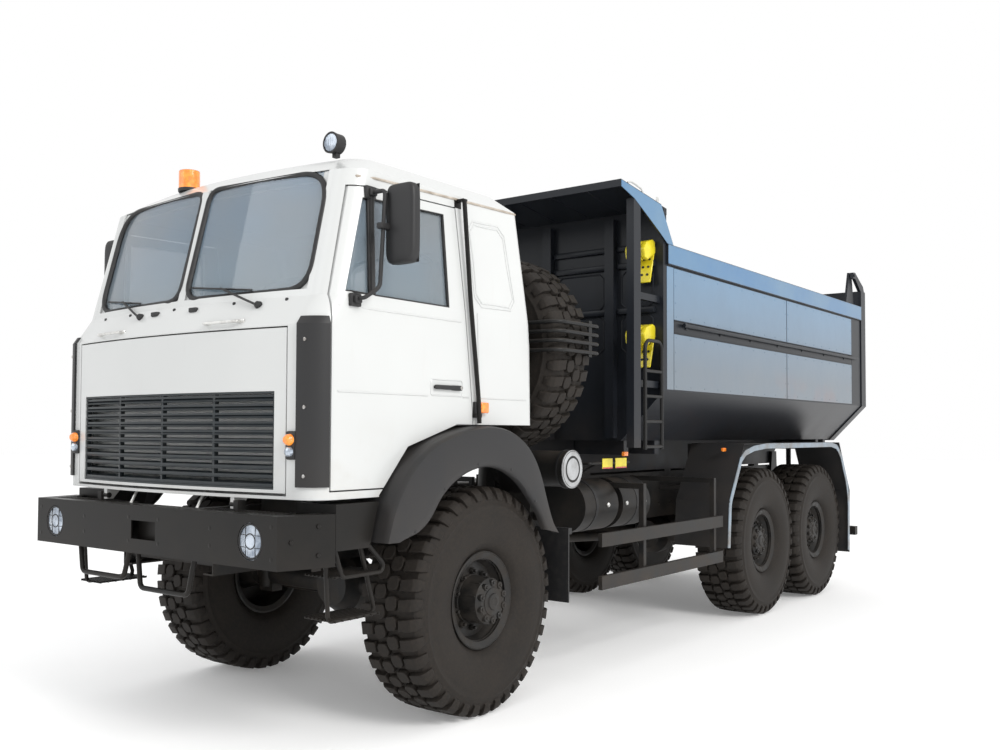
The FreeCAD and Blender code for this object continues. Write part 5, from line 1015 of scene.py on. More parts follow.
class TRUCK_OT_doors(bpy.types.Operator):
    """Door handles, pressed lines, mirror feet and mirror glass"""
    bl_idname = "truck.doors"
    bl_label = "Door fittings"

    def execute(self, context):
        for side, sign in (("left", 1), ("right", -1)):
            skin = surface_of(f"door_{side}")

            def on(y, z, off, sign=sign, skin=skin):
                return touch(skin, (sign * 1.6, y, z), (-sign, 0, 0)) + Vector((sign * off, 0, 0))
            body = f"door_{side}"
            recess = pipe([on(y, z, 0.0) for y, z in ((-3.205, 1.955), (-2.945, 1.955), (-2.935, 1.945),
                                                      (-2.935, 1.875), (-2.945, 1.865), (-3.205, 1.865),
                                                      (-3.215, 1.875), (-3.215, 1.945))], 0.0045, sides=6,
                                                      closed=True)
            crease = [pipe([on(y, 1.862, 0.0) for y in (-3.93, -3.8, -3.6, -3.4, -3.24)], 0.005, sides=6),
                      pipe([on(y, 1.862, 0.0) for y in (-2.93, -2.875)], 0.005, sides=6)]
            belt = pipe([on(y, 2.295, 0.0) for y in (-3.92, -3.7, -3.4, -3.1, -2.95)], 0.005, sides=6)
            piece(f"door_pressed_lines_{side}", [recess, *crease, belt], body, "cab_paint_gloss")
            x = abs(on(-3.08, 1.912, 0.0).x)
            shape = [block((x + 0.010, -3.195, 1.899), (x + 0.024, -2.958, 1.924), 0.006, 2),
                     block((x - 0.002, -3.190, 1.903), (x + 0.014, -3.160, 1.920), 0.004),
                     block((x - 0.002, -3.040, 1.897), (x + 0.020, -2.955, 1.926), 0.006, 2)]
            lock = lathe([(x, 0.011), (x + 0.024, 0.011), (x + 0.026, 0.008), (x + 0.026, 0)], "x",
                         (0, -2.968, 1.912), 14)
            lock = merged([lock])
            shape = shape if sign > 0 else [flipped(s) for s in shape]
            lock = lock if sign > 0 else flipped(lock)
            piece(f"door_handle_{side}", shape, body, "seal_rubber")
            piece(f"door_lock_{side}", lock, body, "bare_steel")
            feet = [block((1.092, -3.728, 2.872), (1.118, -3.655, 2.940), 0.005),
                    block((1.112, -3.712, 2.888), (1.136, -3.664, 2.924), 0.005),
                    block((1.122, -3.860, 2.296), (1.146, -3.786, 2.362), 0.005),
                    block((1.142, -3.846, 2.312), (1.166, -3.800, 2.350), 0.005),
                    block((1.196, -3.735, 2.700), (1.232, -3.648, 2.732), 0.004)]
            knobs = [lathe([(-3.742, 0.010), (-3.748, 0.008), (-3.748, 0)], "y", (x, 0, z), 12)
                     for x, z in ((1.204, 2.716), (1.224, 2.716))]
            feet = feet if sign > 0 else [flipped(s) for s in feet]
            piece(f"mirror_feet_{side}", feet, body, "seal_rubber")
            knobs = knobs if sign > 0 else [flipped(s) for s in knobs]
            back = FRONT - 0.920 + 0.030
            pane = block((1.206, back - 0.001, 2.536), (1.374, back + 0.003, 2.924), 0.0015, 1)
            rim = plate([(1.198, 2.528), (1.382, 2.528), (1.382, 2.932), (1.198, 2.932)], "y", back - 0.004,
                        back + 0.001,
                        0.0015, 1)
            pane = pane if sign > 0 else flipped(pane)
            rim = rim if sign > 0 else flipped(rim)
            piece(f"mirror_rim_{side}", rim, body, "seal_rubber")
            piece(f"mirror_pane_{side}", pane, body, "mirror_glass")
        return {"FINISHED"}


class TRUCK_OT_seats(bpy.types.Operator):
    """Padded seats behind the glass"""
    bl_idname = "truck.seats"
    bl_label = "Seats"

    def execute(self, context):
        for side, sign in (("left", 1), ("right", -1)):
            x = sign * 0.52
            for name, low, high in ((f"seat_cushion_{side}", (x - 0.262, -3.215, 1.895),
                                     (x + 0.262, -2.655, 2.092)),
                                    (f"seat_back_{side}", (x - 0.255, -2.845, 2.010),
                                     (x + 0.255, -2.660, 2.712))):
                bm = bmesh.new()
                bmesh.ops.create_cube(bm, size=1.0)
                bmesh.ops.subdivide_edges(bm, edges=bm.edges[:], cuts=9, use_grid_fill=True)
                for v in bm.verts:
                    spot = v.co * 2
                    size = Vector([1 - 0.10 * (abs(spot[(n + 1) % 3]) ** 4 + abs(spot[(n + 2) % 3]) ** 4)
                                   for n in range(3)])
                    seam = 0.035 * math.exp(-((abs(spot.x) - 0.55) / 0.06) ** 2)
                    v.co = Vector([(a + b) / 2 + c / 2 * s * (b - a) * (1 - seam)
                                   for a, b, c, s in zip(low, high, spot, size)])
                shape = from_bmesh(bm)
                pad = piece(name, shape, "cab", "cabin_fabric", sharp=180)
        return {"FINISHED"}


# Front

class TRUCK_OT_headlamps(bpy.types.Operator):
    """Headlamp bowls, lenses and wire guards in the bumper, and the tail lamps"""
    bl_idname = "truck.headlamps"
    bl_label = "Headlamps and tail lamps"

    def execute(self, context):
        centre = LAMP_CENTRE
        face = centre[1]
        ring = lathe([(0.010, 0.0885), (0.002, 0.0885), (-0.001, 0.086), (-0.001, 0.080), (0.006, 0.077),
                      (0.012, 0.077)], "y", centre, 40, True)
        bowl = lathe([(0.006, 0.078), (0.002, 0.066), (-0.0005, 0.036), (-0.001, 0)], "y", centre, 40)
        inner = lathe([(-0.0012, 0.040), (-0.0018, 0.037), (-0.0012, 0.034), (0, 0.037)], "y", centre, 28,
                      True)
        wires = []
        for n in range(2):
            z = centre[2] - 0.030 + n * 0.060
            half = math.sqrt(max(0.0, 0.094 ** 2 - (z - centre[2]) ** 2))
            wires.append(pipe([(centre[0] - half, face + 0.001, z), (centre[0] + half, face + 0.001, z)],
                              0.0018, sides=6))
        for n in range(2):
            x = centre[0] - 0.036 + n * 0.072
            half = math.sqrt(max(0.0, 0.094 ** 2 - (x - centre[0]) ** 2))
            wires.append(pipe([(x, face + 0.001, centre[2] - half), (x, face + 0.001, centre[2] + half)],
                              0.0018,
                              sides=6))
        hoop = [(centre[0] + 0.094 * math.cos(t * math.pi / 16), face + 0.001, centre[2] + 0.094 * math.sin(
            t * math.pi / 16)) for t in range(32)]
        wires.append(pipe(hoop, 0.0025, sides=6, closed=True))
        piece("headlamp_rings", both_sides(ring, inner), "chassis", "seal_rubber")
        piece("headlamp_lenses", both_sides(bowl), "chassis", "lamp_glass")
        piece("headlamp_guards", both_sides(*wires), "chassis", "seal_rubber")
        cases, ambers, reds, clears = [], [], [], []
        back = 3.7865
        for low, high, group in ((0.905, 0.985, ambers), (0.990, 1.050, clears), (1.055, 1.135, reds)):
            group.append(block((low, back - 0.010, 0.940), (high, back + 0.008, 1.020), 0.006, 2))
        cases.append(block((0.897, back - 0.020, 0.931), (1.143, back - 0.001, 1.029), 0.006, 2))
        piece("tail_lamp_cases", both_sides(*cases), "chassis", "seal_rubber")
        piece("tail_lamp_amber", both_sides(*ambers), "chassis", "amber_lens")
        piece("tail_lamp_clear", both_sides(*clears), "chassis", "lamp_glass")
        piece("tail_lamp_red", both_sides(*reds), "chassis", "red_lens")
        markers = []
        for y, z in ((FRONT + 1.716, 1.508), (FRONT + 3.436, 1.520)):
            markers.append(block((1.094, y - 0.030, z - 0.016), (1.118, y + 0.030, z + 0.016), 0.006, 2))
        piece("marker_lamps", both_sides(*markers), "chassis", "amber_lens")
        return {"FINISHED"}


class TRUCK_OT_bumper(bpy.types.Operator):
    """Bolts, plates and struts of the bumper, and the steps' gratings"""
    bl_idname = "truck.bumper"
    bl_label = "Bumper and steps"

    def execute(self, context):
        skin = surface_of("front_bumper")
        heads = []
        for x, z in ((0.570, 1.172), (0.570, 1.085), (0.135, 1.190), (0.135, 1.062), (1.035, 1.205),
                     (1.035, 1.050)):
            spot = touch(skin, (x, -5.0, z), (0, 1, 0))
            heads.append(bolt((x, spot.y + 0.004, z), "y", 0.015, 0.0045, -1))
        for y, z in ((-4.06, 1.20), (-4.06, 1.06), (-4.20, 1.13)):
            spot = touch(skin, (2.0, y, z), (-1, 0, 0))
            heads.append(bolt((min(spot.x - 0.003, 1.1585), y, z), "x", 0.013, 0.009))
        piece("bumper_bolts", both_sides(*heads), "chassis", "bumper_paint_black")
        lip = [pipe([(x, face_y, 1.2485) for x, face_y in ((-1.05, -4.262), (1.05, -4.262))], 0.0065,
                    sides=8),
               pipe([(-1.05, -4.262, 1.0035), (1.05, -4.262, 1.0035)], 0.0065, sides=8)]
        frame_lines = [pipe([(-0.128, -4.2655, 1.058), (0.128, -4.2655, 1.058), (0.128, -4.2655, 1.193),
                             (-0.128, -4.2655, 1.193)], 0.0045, sides=6, closed=True)]
        piece("bumper_edges", lip + frame_lines, "chassis", "bumper_paint_black")
        struts = [pipe([(0.300, -4.150, 1.246), (0.300, -4.120, 1.300), (0.300, -4.085, 1.352)], 0.0085,
                       0.02, 10),
                  pipe([(-0.300, -4.150, 1.246), (-0.300, -4.120, 1.300), (-0.300, -4.085, 1.352)], 0.0085,
                       0.02, 10)]
        piece("bumper_struts", struts, "chassis", "cap_steel")
        tread = []
        for x0 in (0.42, -0.98):
            tread.append(repeated(block((-0.006, -0.050, 0.0), (0.006, 0.050, 0.004), 0.0018, 1), 19,
                                  step=(0.031, 0, 0), start=(x0, -4.145, 1.2545),
                                  material="bumper_paint_black"))
        piece("bumper_tread", tread, "chassis", "bumper_paint_black")
        gratings = []
        for low, z in ((0.92, 0.942), (0.92, 0.727)):
            teeth = repeated(block((0.0, -0.170, -0.010), (0.010, 0.170, 0.002), 0.002, 1), 8,
                             step=(0.028, 0, 0),
                             start=(low, -3.781, z), material="bumper_paint_black")
            gratings.append(teeth)
            cross = repeated(block((0.0, -0.005, -0.012), (0.215, 0.005, -0.003), 0.002, 1), 7,
                             step=(0, 0.052, 0),
                             start=(low, -3.937, z), material="bumper_paint_black")
            gratings.append(cross)
        piece("step_gratings", both_sides(*gratings), "chassis", "bumper_paint_black")
        return {"FINISHED"}


class TRUCK_OT_grille(bpy.types.Operator):
    """Broad sloped slats of the grille, and the bolts of the corner deflectors"""
    bl_idname = "truck.grille"
    bl_label = "Grille slats"

    def execute(self, context):
        section = [(-4.166, 0.000), (-4.1635, 0.0035), (-4.132, 0.026), (-4.126, 0.026), (-4.1265, 0.022),
                   (-4.158, -0.003)]
        panel = surface_of("front_panel")
        flat = touch(panel, (0.0, -5.0, 1.905), (0, 1, 0)).y

        def bowed(outline):
            stations = []
            for n in range(25):
                x = -0.848 + n * 0.848 / 12
                bow = touch(panel, (x, -5.0, 1.905), (0, 1, 0)).y - flat
                stations.append([Vector((x, y + bow, z)) for y, z in outline])
            return lofted(stations)
        slats = repeated(bowed(section), 11, step=(0, 0, 0.0435), start=(0, 0, 1.381),
                         material="grille_plastic")
        frame_bars = [bowed([(-4.164, z), (-4.162, z + 0.010), (-4.120, z + 0.010), (-4.120, z)])
                      for z in (1.3685, 1.8515)]
        piece("grille_slats", [slats, *frame_bars], "front_panel", "grille_plastic")
        skin = surface_of("cab_trim")
        heads = []
        for z in (1.440, 1.780, 2.115):
            hit = skin.ray_cast(Vector((1.045, -5.0, z)), Vector((0, 1, 0)))[0]
            if hit is not None:
                heads.append(lathe([(0.003, 0.010), (-0.002, 0.010), (-0.004, 0.006), (-0.004, 0)], "y", hit,
                                   12))
        if heads:
            piece("deflector_screws", both_sides(*heads), "cab", "bare_steel")
        return {"FINISHED"}


class TRUCK_OT_mirrors(bpy.types.Operator):
    """Mirror housings with rounded corners, on bent tube arms"""
    bl_idname = "truck.mirrors"
    bl_label = "Mirrors"

    def execute(self, context):
        ahead = FRONT - 0.920
        middle, high = 1.290, 2.730
        for side, sign in (("left", 1), ("right", -1)):
            sections = []
            for y, scale in ((0.0300, 0.955), (0.0270, 0.985), (0.0180, 1.0), (-0.0080, 0.995),
                             (-0.0190, 0.965),
                             (-0.0260, 0.89), (-0.0290, 0.74), (-0.0298, 0.50)):
                ring = []
                for n in range(56):
                    t = 2 * math.pi * n / 56
                    c, d = math.cos(t), math.sin(t)
                    wide = 0.099 * scale
                    tall = 0.099 * scale + 0.110 * (0.9 + 0.1 * scale)
                    ring.append(Vector((middle + wide * math.copysign(abs(c) ** 0.36, c), ahead + y,
                                        high + tall * math.copysign(abs(d) ** 0.30, d))))
                sections.append(ring)
            head = lofted(sections)
            route = [(1.1054, ahead - 0.045, 2.905), (1.212, ahead - 0.045, 2.905),
                     (1.212, ahead - 0.080, 2.400),
                     (1.205, ahead - 0.180, 2.335), (1.1258, ahead - 0.180, 2.335)]
            arm = pipe(route, 0.011, 0.06, 12)
            clamp = block((1.199, ahead - 0.080, 2.698), (1.226, ahead - 0.020, 2.732), 0.005)
            shapes = [head, arm, clamp]
            shapes = shapes if sign > 0 else [flipped(shape) for shape in shapes]
            piece(f"mirror_housing_{side}", shapes, f"door_{side}", "charcoal_plastic",
                  [f"mirror_{side}"])
        return {"FINISHED"}


class TRUCK_OT_fenders(bpy.types.Operator):
    """Rolled edges of the fenders, and the bright bands along the rear mudguards"""
    bl_idname = "truck.fenders"
    bl_label = "Fender and mudguard edges"

    def execute(self, context):
        over = [(-0.962, 1.092), (-0.893, 1.322), (-0.669, 1.573), (-0.255, 1.696), (0.100, 1.696),
                (0.385, 1.534),
                (0.546, 1.113), (0.630, 1.028)]
        under = [(-0.863, 1.091), (-0.640, 1.140), (-0.492, 1.352), (-0.172, 1.480), (0.140, 1.420),
                 (0.398, 1.189),
                 (0.483, 1.058)]
        count = 73
        outer = evenly(corners_cut(over, 3), count)
        inner = evenly(corners_cut(under, 3), count)
        sections = []
        for o, i in zip(outer, inner):
            near = 0.905
            if o.x > 0.38 and o.y < 1.29:
                near = 1.190
            profile = ((near, 0.0), (1.205, 0.0), (1.232, 0.012), (1.2455, 0.05), (1.2495, 0.14),
                       (1.2495, 0.80),
                       (1.2470, 0.90), (1.2400, 0.965), (1.2260, 1.0), (1.2040, 1.0), (1.2040, 0.965),
                       (1.2250, 0.955),
                       (1.2340, 0.88), (1.2360, 0.16), (1.2300, 0.09), (1.2050, 0.05), (near, 0.05))
            ring = []
            for x, share in profile:
                p = o.lerp(i, share)
                ring.append(Vector((x, FRONT + p.x, p.y)))
            sections.append(ring)
        shell = lofted(sections)
        bars = []
        for y in (FRONT - 0.200, FRONT + 0.040):
            bars.append(block((0.425, y - 0.022, 1.632), (1.205, y + 0.022, 1.676), 0.004, 1))
            bars.append(block((0.425, y - 0.022, 1.180), (0.470, y + 0.022, 1.640), 0.004, 1))
        heads = []
        for n in (6, 20, 34, 48, 62):
            p = outer[n].lerp(inner[n], 0.88)
            heads.append(lathe([(1.2455, 0.008), (1.2490, 0.008), (1.2498, 0.005), (1.2498, 0)], "x",
                               (0, FRONT + p.x, p.y), 10))
        piece("fender_arches", both_sides(shell, *bars), "chassis", "charcoal_plastic",
              ["fenders"])
        piece("fender_screws", both_sides(*heads), "chassis", "seal_rubber")
        route = [(0.385, 0.713), (0.416, 1.092), (0.723, 1.559), (3.196, 1.540), (3.525, 1.058),
                 (3.508, 0.413)]
        surface = surface_of("rear_mudguards")
        band, beads = [], []
        for low, high in zip(route, route[1:]):
            beads.extend(((low[0] + (high[0] - low[0]) * n / 8,
                           low[1] + (high[1] - low[1]) * n / 8) for n in range(8)))
        beads.append(route[-1])
        outer = []
        for y, z in beads:
            hit = surface.find_nearest(Vector((1.239, y, z)))[0]
            outer.append(Vector((1.2365, hit.y, hit.z)))
        smooth = [outer[0]] + [(a + b + c) / 3 for a, b, c in zip(outer, outer[1:], outer[2:])] + [outer[-1]]
        smooth = thinned(smooth, 0.02)
        centre = Vector((1.2365, (route[0][0] + route[-1][0]) / 2, 0.75))
        strips = []
        for n, p in enumerate(smooth):
            a, b = smooth[max(0, n - 1)], smooth[min(len(smooth) - 1, n + 1)]
            run = (b - a).normalized()
            inward = Vector((0, -run.z, run.y))
            if inward.dot(centre - p) < 0:
                inward = -inward
            edge = p + inward * 0.042
            strips.append([Vector((1.2340, p.y, p.z)), Vector((1.2395, p.y, p.z)),
                           Vector((1.2395, edge.y, edge.z)),
                           Vector((1.2340, edge.y, edge.z))])
        band.append(lofted(strips))
        band.append(pipe(smooth, 0.0055, sides=8))
        piece("mudguard_edges", both_sides(*band), "chassis", "mudguard_edge")
        return {"FINISHED"}


# Bed

def side_sheet(y0, y1, z0, z1, thick):
    return block((BED_SIDE - 0.002, y0, z0), (BED_SIDE + thick, y1, z1), 0.0015, 1)


class TRUCK_OT_cladding(bpy.types.Operator):
    """Sheets on the bed's sides with their rivets, the top rails' faces and the cover's rails"""
    bl_idname = "truck.cladding"
    bl_label = "Bed cladding"

    def execute(self, context):
        sizes = context.scene.truck_sizes
        thick = sizes.cladding
        sheets, bands, rivets = [], [], []
        rows = ((2.524, 2.925), (1.988, 2.421))
        columns = ((-0.484, 1.853), (1.863, 3.795))
        for y0, y1 in columns:
            for z0, z1 in rows:
                sheets.append(side_sheet(y0 + 0.003, y1 - 0.003, z0 + 0.003, z1 - 0.003, thick))
                rivet = lathe([(0.0, sizes.rivet), (0.0015, sizes.rivet * 0.9), (0.003, sizes.rivet * 0.5),
                               (0.0034, 0)],
                              "x", (BED_SIDE + thick, 0, 0), 8)
                gaps = max(2, round((y1 - y0 - 0.08) / 0.24))
                for z in (z0 + 0.028, z1 - 0.028):
                    rivets.append(repeated(rivet, gaps + 1, step=(0, (y1 - y0 - 0.08) / gaps, 0),
                                           start=(0, y0 + 0.04, z), material="bed_cladding_gloss"))
                for y in (y0 + 0.028, y1 - 0.028):
                    rivets.append(repeated(rivet, 2, step=(0, 0, (z1 - z0) / 3),
                                           start=(0, y, z0 + (z1 - z0) / 3),
                                           material="bed_cladding_gloss"))
        sheets.append(side_sheet(-0.597, -0.488, 1.990, 2.925, thick * 0.8))
        piece("side_sheets", both_sides(*sheets), "bed", "bed_cladding_gloss")
        piece("side_rivets", both_sides(*rivets), "bed", "bed_cladding_gloss")
        bands.append(side_sheet(-0.482, 3.795, 2.427, 2.518, 0.0015))
        for z in (2.424, 2.521):
            bands.append(pipe([(1.2375, -0.482, z), (1.2375, 3.795, z)], 0.004, sides=6))
        bands.append(side_sheet(3.799, 4.040, 1.990, 2.925, 0.002))
        piece("side_bands", both_sides(*bands), "bed", "bed_paint_dark")
        rail = [block((1.2485, -0.597, 2.944), (1.2525, 4.106, 3.086), 0.0015, 1),
                pipe([(1.2515, -0.597, 2.9465), (1.2515, 4.106, 2.9465)], 0.0035, sides=6),
                pipe([(1.2515, -0.597, 3.0845), (1.2515, 4.106, 3.0845)], 0.0035, sides=6)]
        piece("top_rail_faces", both_sides(*rail), "bed", "rail_paint_blue")
        gusset = [(-1.312, 3.438), (-0.713, 3.367), (-0.519, 3.092), (-0.613, 3.092), (-0.753, 3.165),
                  (-0.963, 3.265),
                  (-1.123, 3.340), (-1.312, 3.391)]
        piece("canopy_gusset_faces", both_sides(plate(gusset, "x", 1.249, 1.252, 0.001, 1)), "bed",
              "rail_paint_blue")
        tube = [pipe([(1.258, -0.352, 2.494), (1.258, -0.344, 2.494), (1.258, 3.930, 2.494)],
                     sizes.rail_tube - 0.002,
                     sides=12)]
        bracket = merged([block((1.236, -0.026, 2.462), (1.2425, 0.026, 2.524), 0.002, 1),
                          block((1.240, -0.012, 2.484), (1.258, 0.012, 2.504), 0.002, 1),
                          bolt((1.2415, -0.017, 2.473), "x", 0.006, 0.004),
                          bolt((1.2415, 0.017, 2.515), "x", 0.006, 0.004)])
        tube.append(repeated(bracket, 7, step=(0, 0.635, 0), start=(0, -0.268, 0), material="bed_paint_dark"))
        piece("cover_rails", both_sides(*tube), "bed", "bed_paint_dark")
        return {"FINISHED"}


class TRUCK_OT_bed_front(bpy.types.Operator):
    """Framed panels and bars of the front wall, ribs under the canopy and the gussets' handles"""
    bl_idname = "truck.bed_front"
    bl_label = "Bed front"

    def execute(self, context):
        wall = surface_of("bed_front_wall")

        def on(x, z, off=0.0):
            return touch(wall, (x, -3.0, z), (0, 1, 0)).y - off
        parts = []
        for x0, x1, z0, z1 in ((0.30, 0.72, 2.62, 2.90), (0.30, 0.72, 2.28, 2.56), (0.88, 1.15, 2.62, 2.90),
                               (0.88, 1.15, 2.28, 2.56), (-0.14, 0.14, 2.72, 3.02)):
            y = on((x0 + x1) / 2, (z0 + z1) / 2)
            corners = [(x0, z0), (x1, z0), (x1, z1), (x0, z1)]
            route = []
            for before, corner, after in zip(corners[-1:] + corners, corners, corners[1:] + corners[:1]):
                for other in (before, after):
                    reach = Vector(other) - Vector(corner)
                    route.append(Vector(corner) + reach.normalized() * 0.035)
            parts.append(pipe([(p.x, y - 0.001, p.y) for p in route], 0.006, sides=6, closed=True))
        for z in (2.595, 2.945, 3.080):
            for x0, x1 in ((0.27, 0.75), (0.85, 1.17)):
                y = on((x0 + x1) / 2, z)
                parts.append(block((x0, y - 0.030, z - 0.022), (x1, y + 0.004, z + 0.022), 0.006, 2))
        sides = both_sides(*parts)
        piece("front_wall_frames", sides, "bed", "bed_paint_dark")
        roof = surface_of("canopy")
        ribs = []
        for x in (0.0, 0.30, 0.60, 0.90):
            ends = []
            for y in (-1.27, -1.12, -0.98, -0.84, -0.72):
                hit = roof.ray_cast(Vector((x, y, 2.9)), Vector((0, 0, 1)))[0]
                if hit is not None:
                    ends.append(hit + Vector((0, 0, 0.001)))
            if len(ends) > 2:
                ribs.append(pipe(ends, 0.007, sides=6))
                if x:
                    ribs.append(flipped(ribs[-1]))
        ribs.append(pipe([(-1.225, -1.3105, 3.398), (1.225, -1.3105, 3.398)], 0.0055, sides=6))
        ribs.append(pipe([(-1.225, -1.3105, 3.436), (1.225, -1.3105, 3.436)], 0.0055, sides=6))
        piece("canopy_ribs", ribs, "bed", "bed_paint_dark")
        handle = [pipe([(1.249, FRONT + 1.503, 3.436), (1.256, FRONT + 1.530, 3.446),
                        (1.257, FRONT + 1.600, 3.440),
                        (1.256, FRONT + 1.690, 3.424), (1.249, FRONT + 1.728, 3.405)], 0.0065, 0.02, 8)]
        handle.append(lathe([(1.250, 0.020), (1.255, 0.020), (1.257, 0.015), (1.258, 0)], "x",
                            (0, FRONT + 1.943, 3.395), 18))
        piece("gusset_handles", both_sides(*handle), "bed", "cap_steel")
        return {"FINISHED"}


class TRUCK_OT_chocks(bpy.types.Operator):
    """Ribs and straps of the wheel chocks and their bracket plates"""
    bl_idname = "truck.chocks"
    bl_label = "Wheel chocks"

    def execute(self, context):
        blocks, holes = [], []
        for foot in (2.150, 2.790):
            top = foot + 0.330
            lobe = plate([(-0.662, top - 0.012), (-0.700, top), (-0.800, top - 0.030), (-0.836, top - 0.085),
                          (-0.822, top - 0.150), (-0.770, top - 0.165), (-0.690, top - 0.120),
                          (-0.662, top - 0.110)],
                         "x", -0.0195, 0.0195, 0.010, 2)
            blocks.append(repeated(lobe, 4, step=(0.0430, 0, 0), start=(1.0255, 0, 0),
                                   material="chock_plastic"))
            core = plate([(-0.655, top - 0.020), (-0.705, top - 0.010), (-0.790, top - 0.040),
                          (-0.815, top - 0.090),
                          (-0.800, top - 0.135), (-0.690, top - 0.105), (-0.655, top - 0.100)], "x", 1.010,
                          1.170,
                         0.004, 1)
            lip = plate([(-0.655, top - 0.100), (-0.668, top - 0.100), (-0.735, foot + 0.005),
                         (-0.722, foot)], "x",
                        1.015, 1.165, 0.004, 1)
            blocks.extend([core, lip])
            # Black discs in the bracket's holes: painted shade of the openings.
            for row in range(3):
                for x in (1.045, 1.090, 1.135):
                    t = 0.20 + row * 0.27
                    y = -0.668 - 0.067 * t
                    z = top - 0.100 - 0.225 * t
                    holes.append(lathe([(0.004, 0.010), (-0.004, 0.010), (-0.0045, 0)], "y", (x, y, z), 12))
        piece("chock_blocks", blocks, "bed", "chock_plastic", ["wheel_chocks"])
        piece("chock_hole_shade_discs", holes, "bed", "seal_rubber")
        return {"FINISHED"}


class TRUCK_OT_gate(bpy.types.Operator):
    """Cross bars of the tailgate"""
    bl_idname = "truck.gate"
    bl_label = "Tailgate fittings"

    def execute(self, context):
        skin = surface_of("tailgate")
        bars = []
        for x in (0.3, -0.3, 0.9, -0.9):
            for z in (2.05, 2.60):
                hit = skin.ray_cast(Vector((x, 6.0, z)), Vector((0, -1, 0)))[0]
                if hit is not None:
                    half = 0.235 if abs(x) < 0.5 else 0.19
                    bars.append(block((x - half, hit.y - 0.004, z - 0.035),
                                      (x + half, hit.y + 0.030, z + 0.035), 0.006))
        piece("gate_cross_bars", bars, "tailgate", "bed_paint_dark")
        return {"FINISHED"}


# Chassis

class TRUCK_OT_tanks(bpy.types.Operator):
    """Air cleaner cap, tank straps, valve pipes and the two blank plates on their bar"""
    bl_idname = "truck.tanks"
    bl_label = "Tanks and plates"

    def execute(self, context):
        skin = surface_of("air_tanks")
        centre = (0, FRONT + 1.130, 1.410)
        hit = touch(skin, (2.0, centre[1], centre[2]), (-1, 0, 0))
        cap = lathe([(hit.x - 0.010, 0.131), (hit.x - 0.004, 0.131), (hit.x, 0.122), (hit.x + 0.002, 0.095),
                     (hit.x - 0.001, 0.090), (hit.x + 0.001, 0.060), (hit.x + 0.004, 0.052),
                     (hit.x + 0.004, 0)], "x",
                    centre, 40)
        piece("air_cleaner_cap", cap, "chassis", "cleaner_cap")
        band = [lathe([(hit.x - 0.060, 0.1335), (hit.x - 0.048, 0.1335), (hit.x - 0.048, 0.128),
                       (hit.x - 0.060, 0.128)],
                      "x", centre, 40, True)]
        for y in (-1.200, -0.600):
            band.append(lathe([(y - 0.017, 0.1935), (y + 0.017, 0.1935), (y + 0.017, 0.188),
                               (y - 0.017, 0.188)], "y",
                              (0.800, 0, 1.130), 48, True))
        piece("tank_straps", band, "chassis", "seal_rubber")
        plates, strips = [], []
        for y0, y1 in ((-1.139, -0.996), (-0.952, -0.788)):
            plates.append(block((0.992, y0, 1.400), (0.997, y1, 1.474), 0.002, 1))
            strips.append(block((0.9965, y0 + 0.004, 1.400), (0.9985, y1 - 0.004, 1.410), 0.001, 1))
        piece("blank_plates", plates, "chassis", "chock_plastic")
        piece("plate_strips", strips, "chassis", "red_lens")
        bar = [pipe([(0.500, -1.300, 1.300), (0.700, -1.300, 1.430), (0.984, -1.290, 1.440),
                     (0.984, -0.720, 1.440),
                     (0.700, -0.710, 1.430), (0.450, -0.710, 1.300)], 0.010, 0.05, 10)]
        piece("plate_bar", bar, "chassis", "chassis_paint_black")
        valves = []
        for y in (-0.50, -0.78, -1.05):
            spot = touch(skin, (2.0, y, 1.135), (-1, 0, 0))
            valves.append(bolt((spot.x - 0.003, y, 1.135), "x", 0.018, 0.014))
        piece("tank_valves", valves, "chassis", "cap_steel")
        return {"FINISHED"}


class TRUCK_OT_bolts(bpy.types.Operator):
    """Bolt heads along the frame rails"""
    bl_idname = "truck.bolts"
    bl_label = "Frame bolts"

    def execute(self, context):
        skin = surface_of("frame")
        parts = []
        y = -1.9
        while y < 3.6:
            for z in (1.02, 1.22):
                hit = skin.ray_cast(Vector((0.60, y, z)), Vector((-1, 0, 0)))[0]
                if hit is not None and hit.x > 0.38:
                    parts.append(bolt((hit.x - 0.002, y, z), "x", 0.014, 0.010))
            y += 0.23
        piece("frame_bolts", both_sides(*parts), "chassis", "chassis_paint_black")
        return {"FINISHED"}


# Floor, light and camera

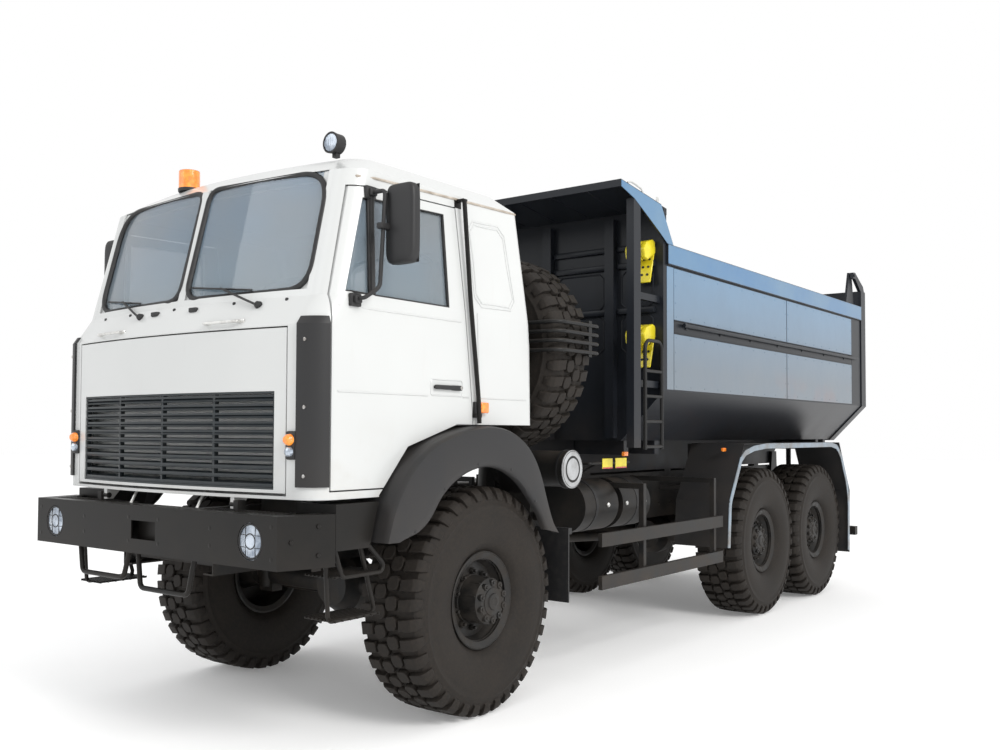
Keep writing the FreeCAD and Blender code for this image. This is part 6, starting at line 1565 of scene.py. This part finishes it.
class TRUCK_OT_stage(bpy.types.Operator):
    """Pale floor, soft studio light and the photograph's camera"""
    bl_idname = "truck.stage"
    bl_label = "Floor, light and camera"

    def execute(self, context):
        scene = context.scene
        floor = mesh_of("floor", ([(-60, -60, 0), (60, -60, 0), (60, 60, 0), (-60, 60, 0)], [(0, 1, 2, 3)]),
                        "studio_floor")
        thing = bpy.data.objects.new("floor", floor)
        context.collection.objects.link(thing)
        world = bpy.data.worlds.new("Studio")
        scene.world = world
        world.use_nodes = True
        back = world.node_tree.nodes["Background"]
        back.inputs["Color"].default_value = (1.0, 1.0, 1.0, 1.0)
        back.inputs["Strength"].default_value = 1.0
        for name, place, size, power, tint in (
                ("key", (14.0, -5.0, 10.0), 6.0, 1500.0, (1.0, 0.99, 0.97)),
                ("fill", (-6.0, -14.0, 9.0), 8.0, 250.0, (0.95, 0.98, 1.0))):
            lamp = bpy.data.lights.new(name, "AREA")
            lamp.shape = "SQUARE"
            lamp.size = size
            lamp.energy = power
            lamp.color = tint
            light = bpy.data.objects.new(name, lamp)
            way = Vector((0.0, -1.0, 1.2)) - Vector(place)
            light.matrix_world = Matrix.Translation(place) @ way.to_track_quat("-Z", "Y").to_matrix().to_4x4()
            context.collection.objects.link(light)
        yaw, pitch, roll = math.radians(37.73), math.radians(2.01), math.radians(0.26)
        ahead = Vector((-math.sin(yaw) * math.cos(pitch), math.cos(yaw) * math.cos(pitch), math.sin(pitch)))
        right = Vector((math.cos(yaw), math.sin(yaw), 0.0))
        up = right.cross(ahead)
        right, up = (math.cos(roll) * right + math.sin(roll) * up,
                     math.cos(roll) * up - math.sin(roll) * right)
        lens = bpy.data.cameras.new("photograph")
        lens.sensor_width = 36.0
        lens.lens = 36.21
        lens.shift_x = 0.0234
        lens.shift_y = 0.022
        lens.clip_end = 300.0
        camera = bpy.data.objects.new("photograph", lens)
        turn = Matrix((right, up, -ahead)).transposed().to_4x4()
        camera.matrix_world = Matrix.Translation((4.735, -7.465, 1.660)) @ turn
        context.collection.objects.link(camera)
        scene.camera = camera
        scene.view_settings.view_transform = "Standard"
        scene.view_settings.look = "None"
        return {"FINISHED"}


OPERATORS = (TRUCK_OT_finishes, TRUCK_OT_tyres, TRUCK_OT_hubs, TRUCK_OT_seals, TRUCK_OT_wipers,
             TRUCK_OT_cab_trim,
             TRUCK_OT_doors, TRUCK_OT_seats, TRUCK_OT_headlamps, TRUCK_OT_bumper, TRUCK_OT_grille,
             TRUCK_OT_mirrors, TRUCK_OT_fenders,
             TRUCK_OT_cladding, TRUCK_OT_bed_front, TRUCK_OT_chocks, TRUCK_OT_gate, TRUCK_OT_tanks,
             TRUCK_OT_bolts,
             TRUCK_OT_stage)


class TRUCK_PT_panel(bpy.types.Panel):
    """Sizes, colours and pieces of the dump truck"""
    bl_idname = "TRUCK_PT_panel"
    bl_label = "Dump truck"
    bl_space_type = "VIEW_3D"
    bl_region_type = "UI"
    bl_category = "Dump truck"

    def draw(self, context):
        for group in (context.scene.truck_tyres, context.scene.truck_sizes, context.scene.truck_colours):
            box = self.layout.box()
            for name in group.__annotations__:
                box.prop(group, name)
        for kind in OPERATORS:
            self.layout.operator(kind.bl_idname)


CLASSES = (TruckTyreSizes, TruckBodySizes, TruckColours, *OPERATORS, TRUCK_PT_panel)


def register():
    for kind in CLASSES:
        bpy.utils.register_class(kind)
    bpy.types.Scene.truck_tyres = bpy.props.PointerProperty(type=TruckTyreSizes)
    bpy.types.Scene.truck_sizes = bpy.props.PointerProperty(type=TruckBodySizes)
    bpy.types.Scene.truck_colours = bpy.props.PointerProperty(type=TruckColours)


def unregister():
    del bpy.types.Scene.truck_colours
    del bpy.types.Scene.truck_sizes
    del bpy.types.Scene.truck_tyres
    for kind in reversed(CLASSES):
        bpy.utils.unregister_class(kind)


def main():
    register()
    for kind in OPERATORS:
        getattr(bpy.ops.truck, kind.bl_idname.split(".")[1])()


if __name__ == "__main__":
    main()
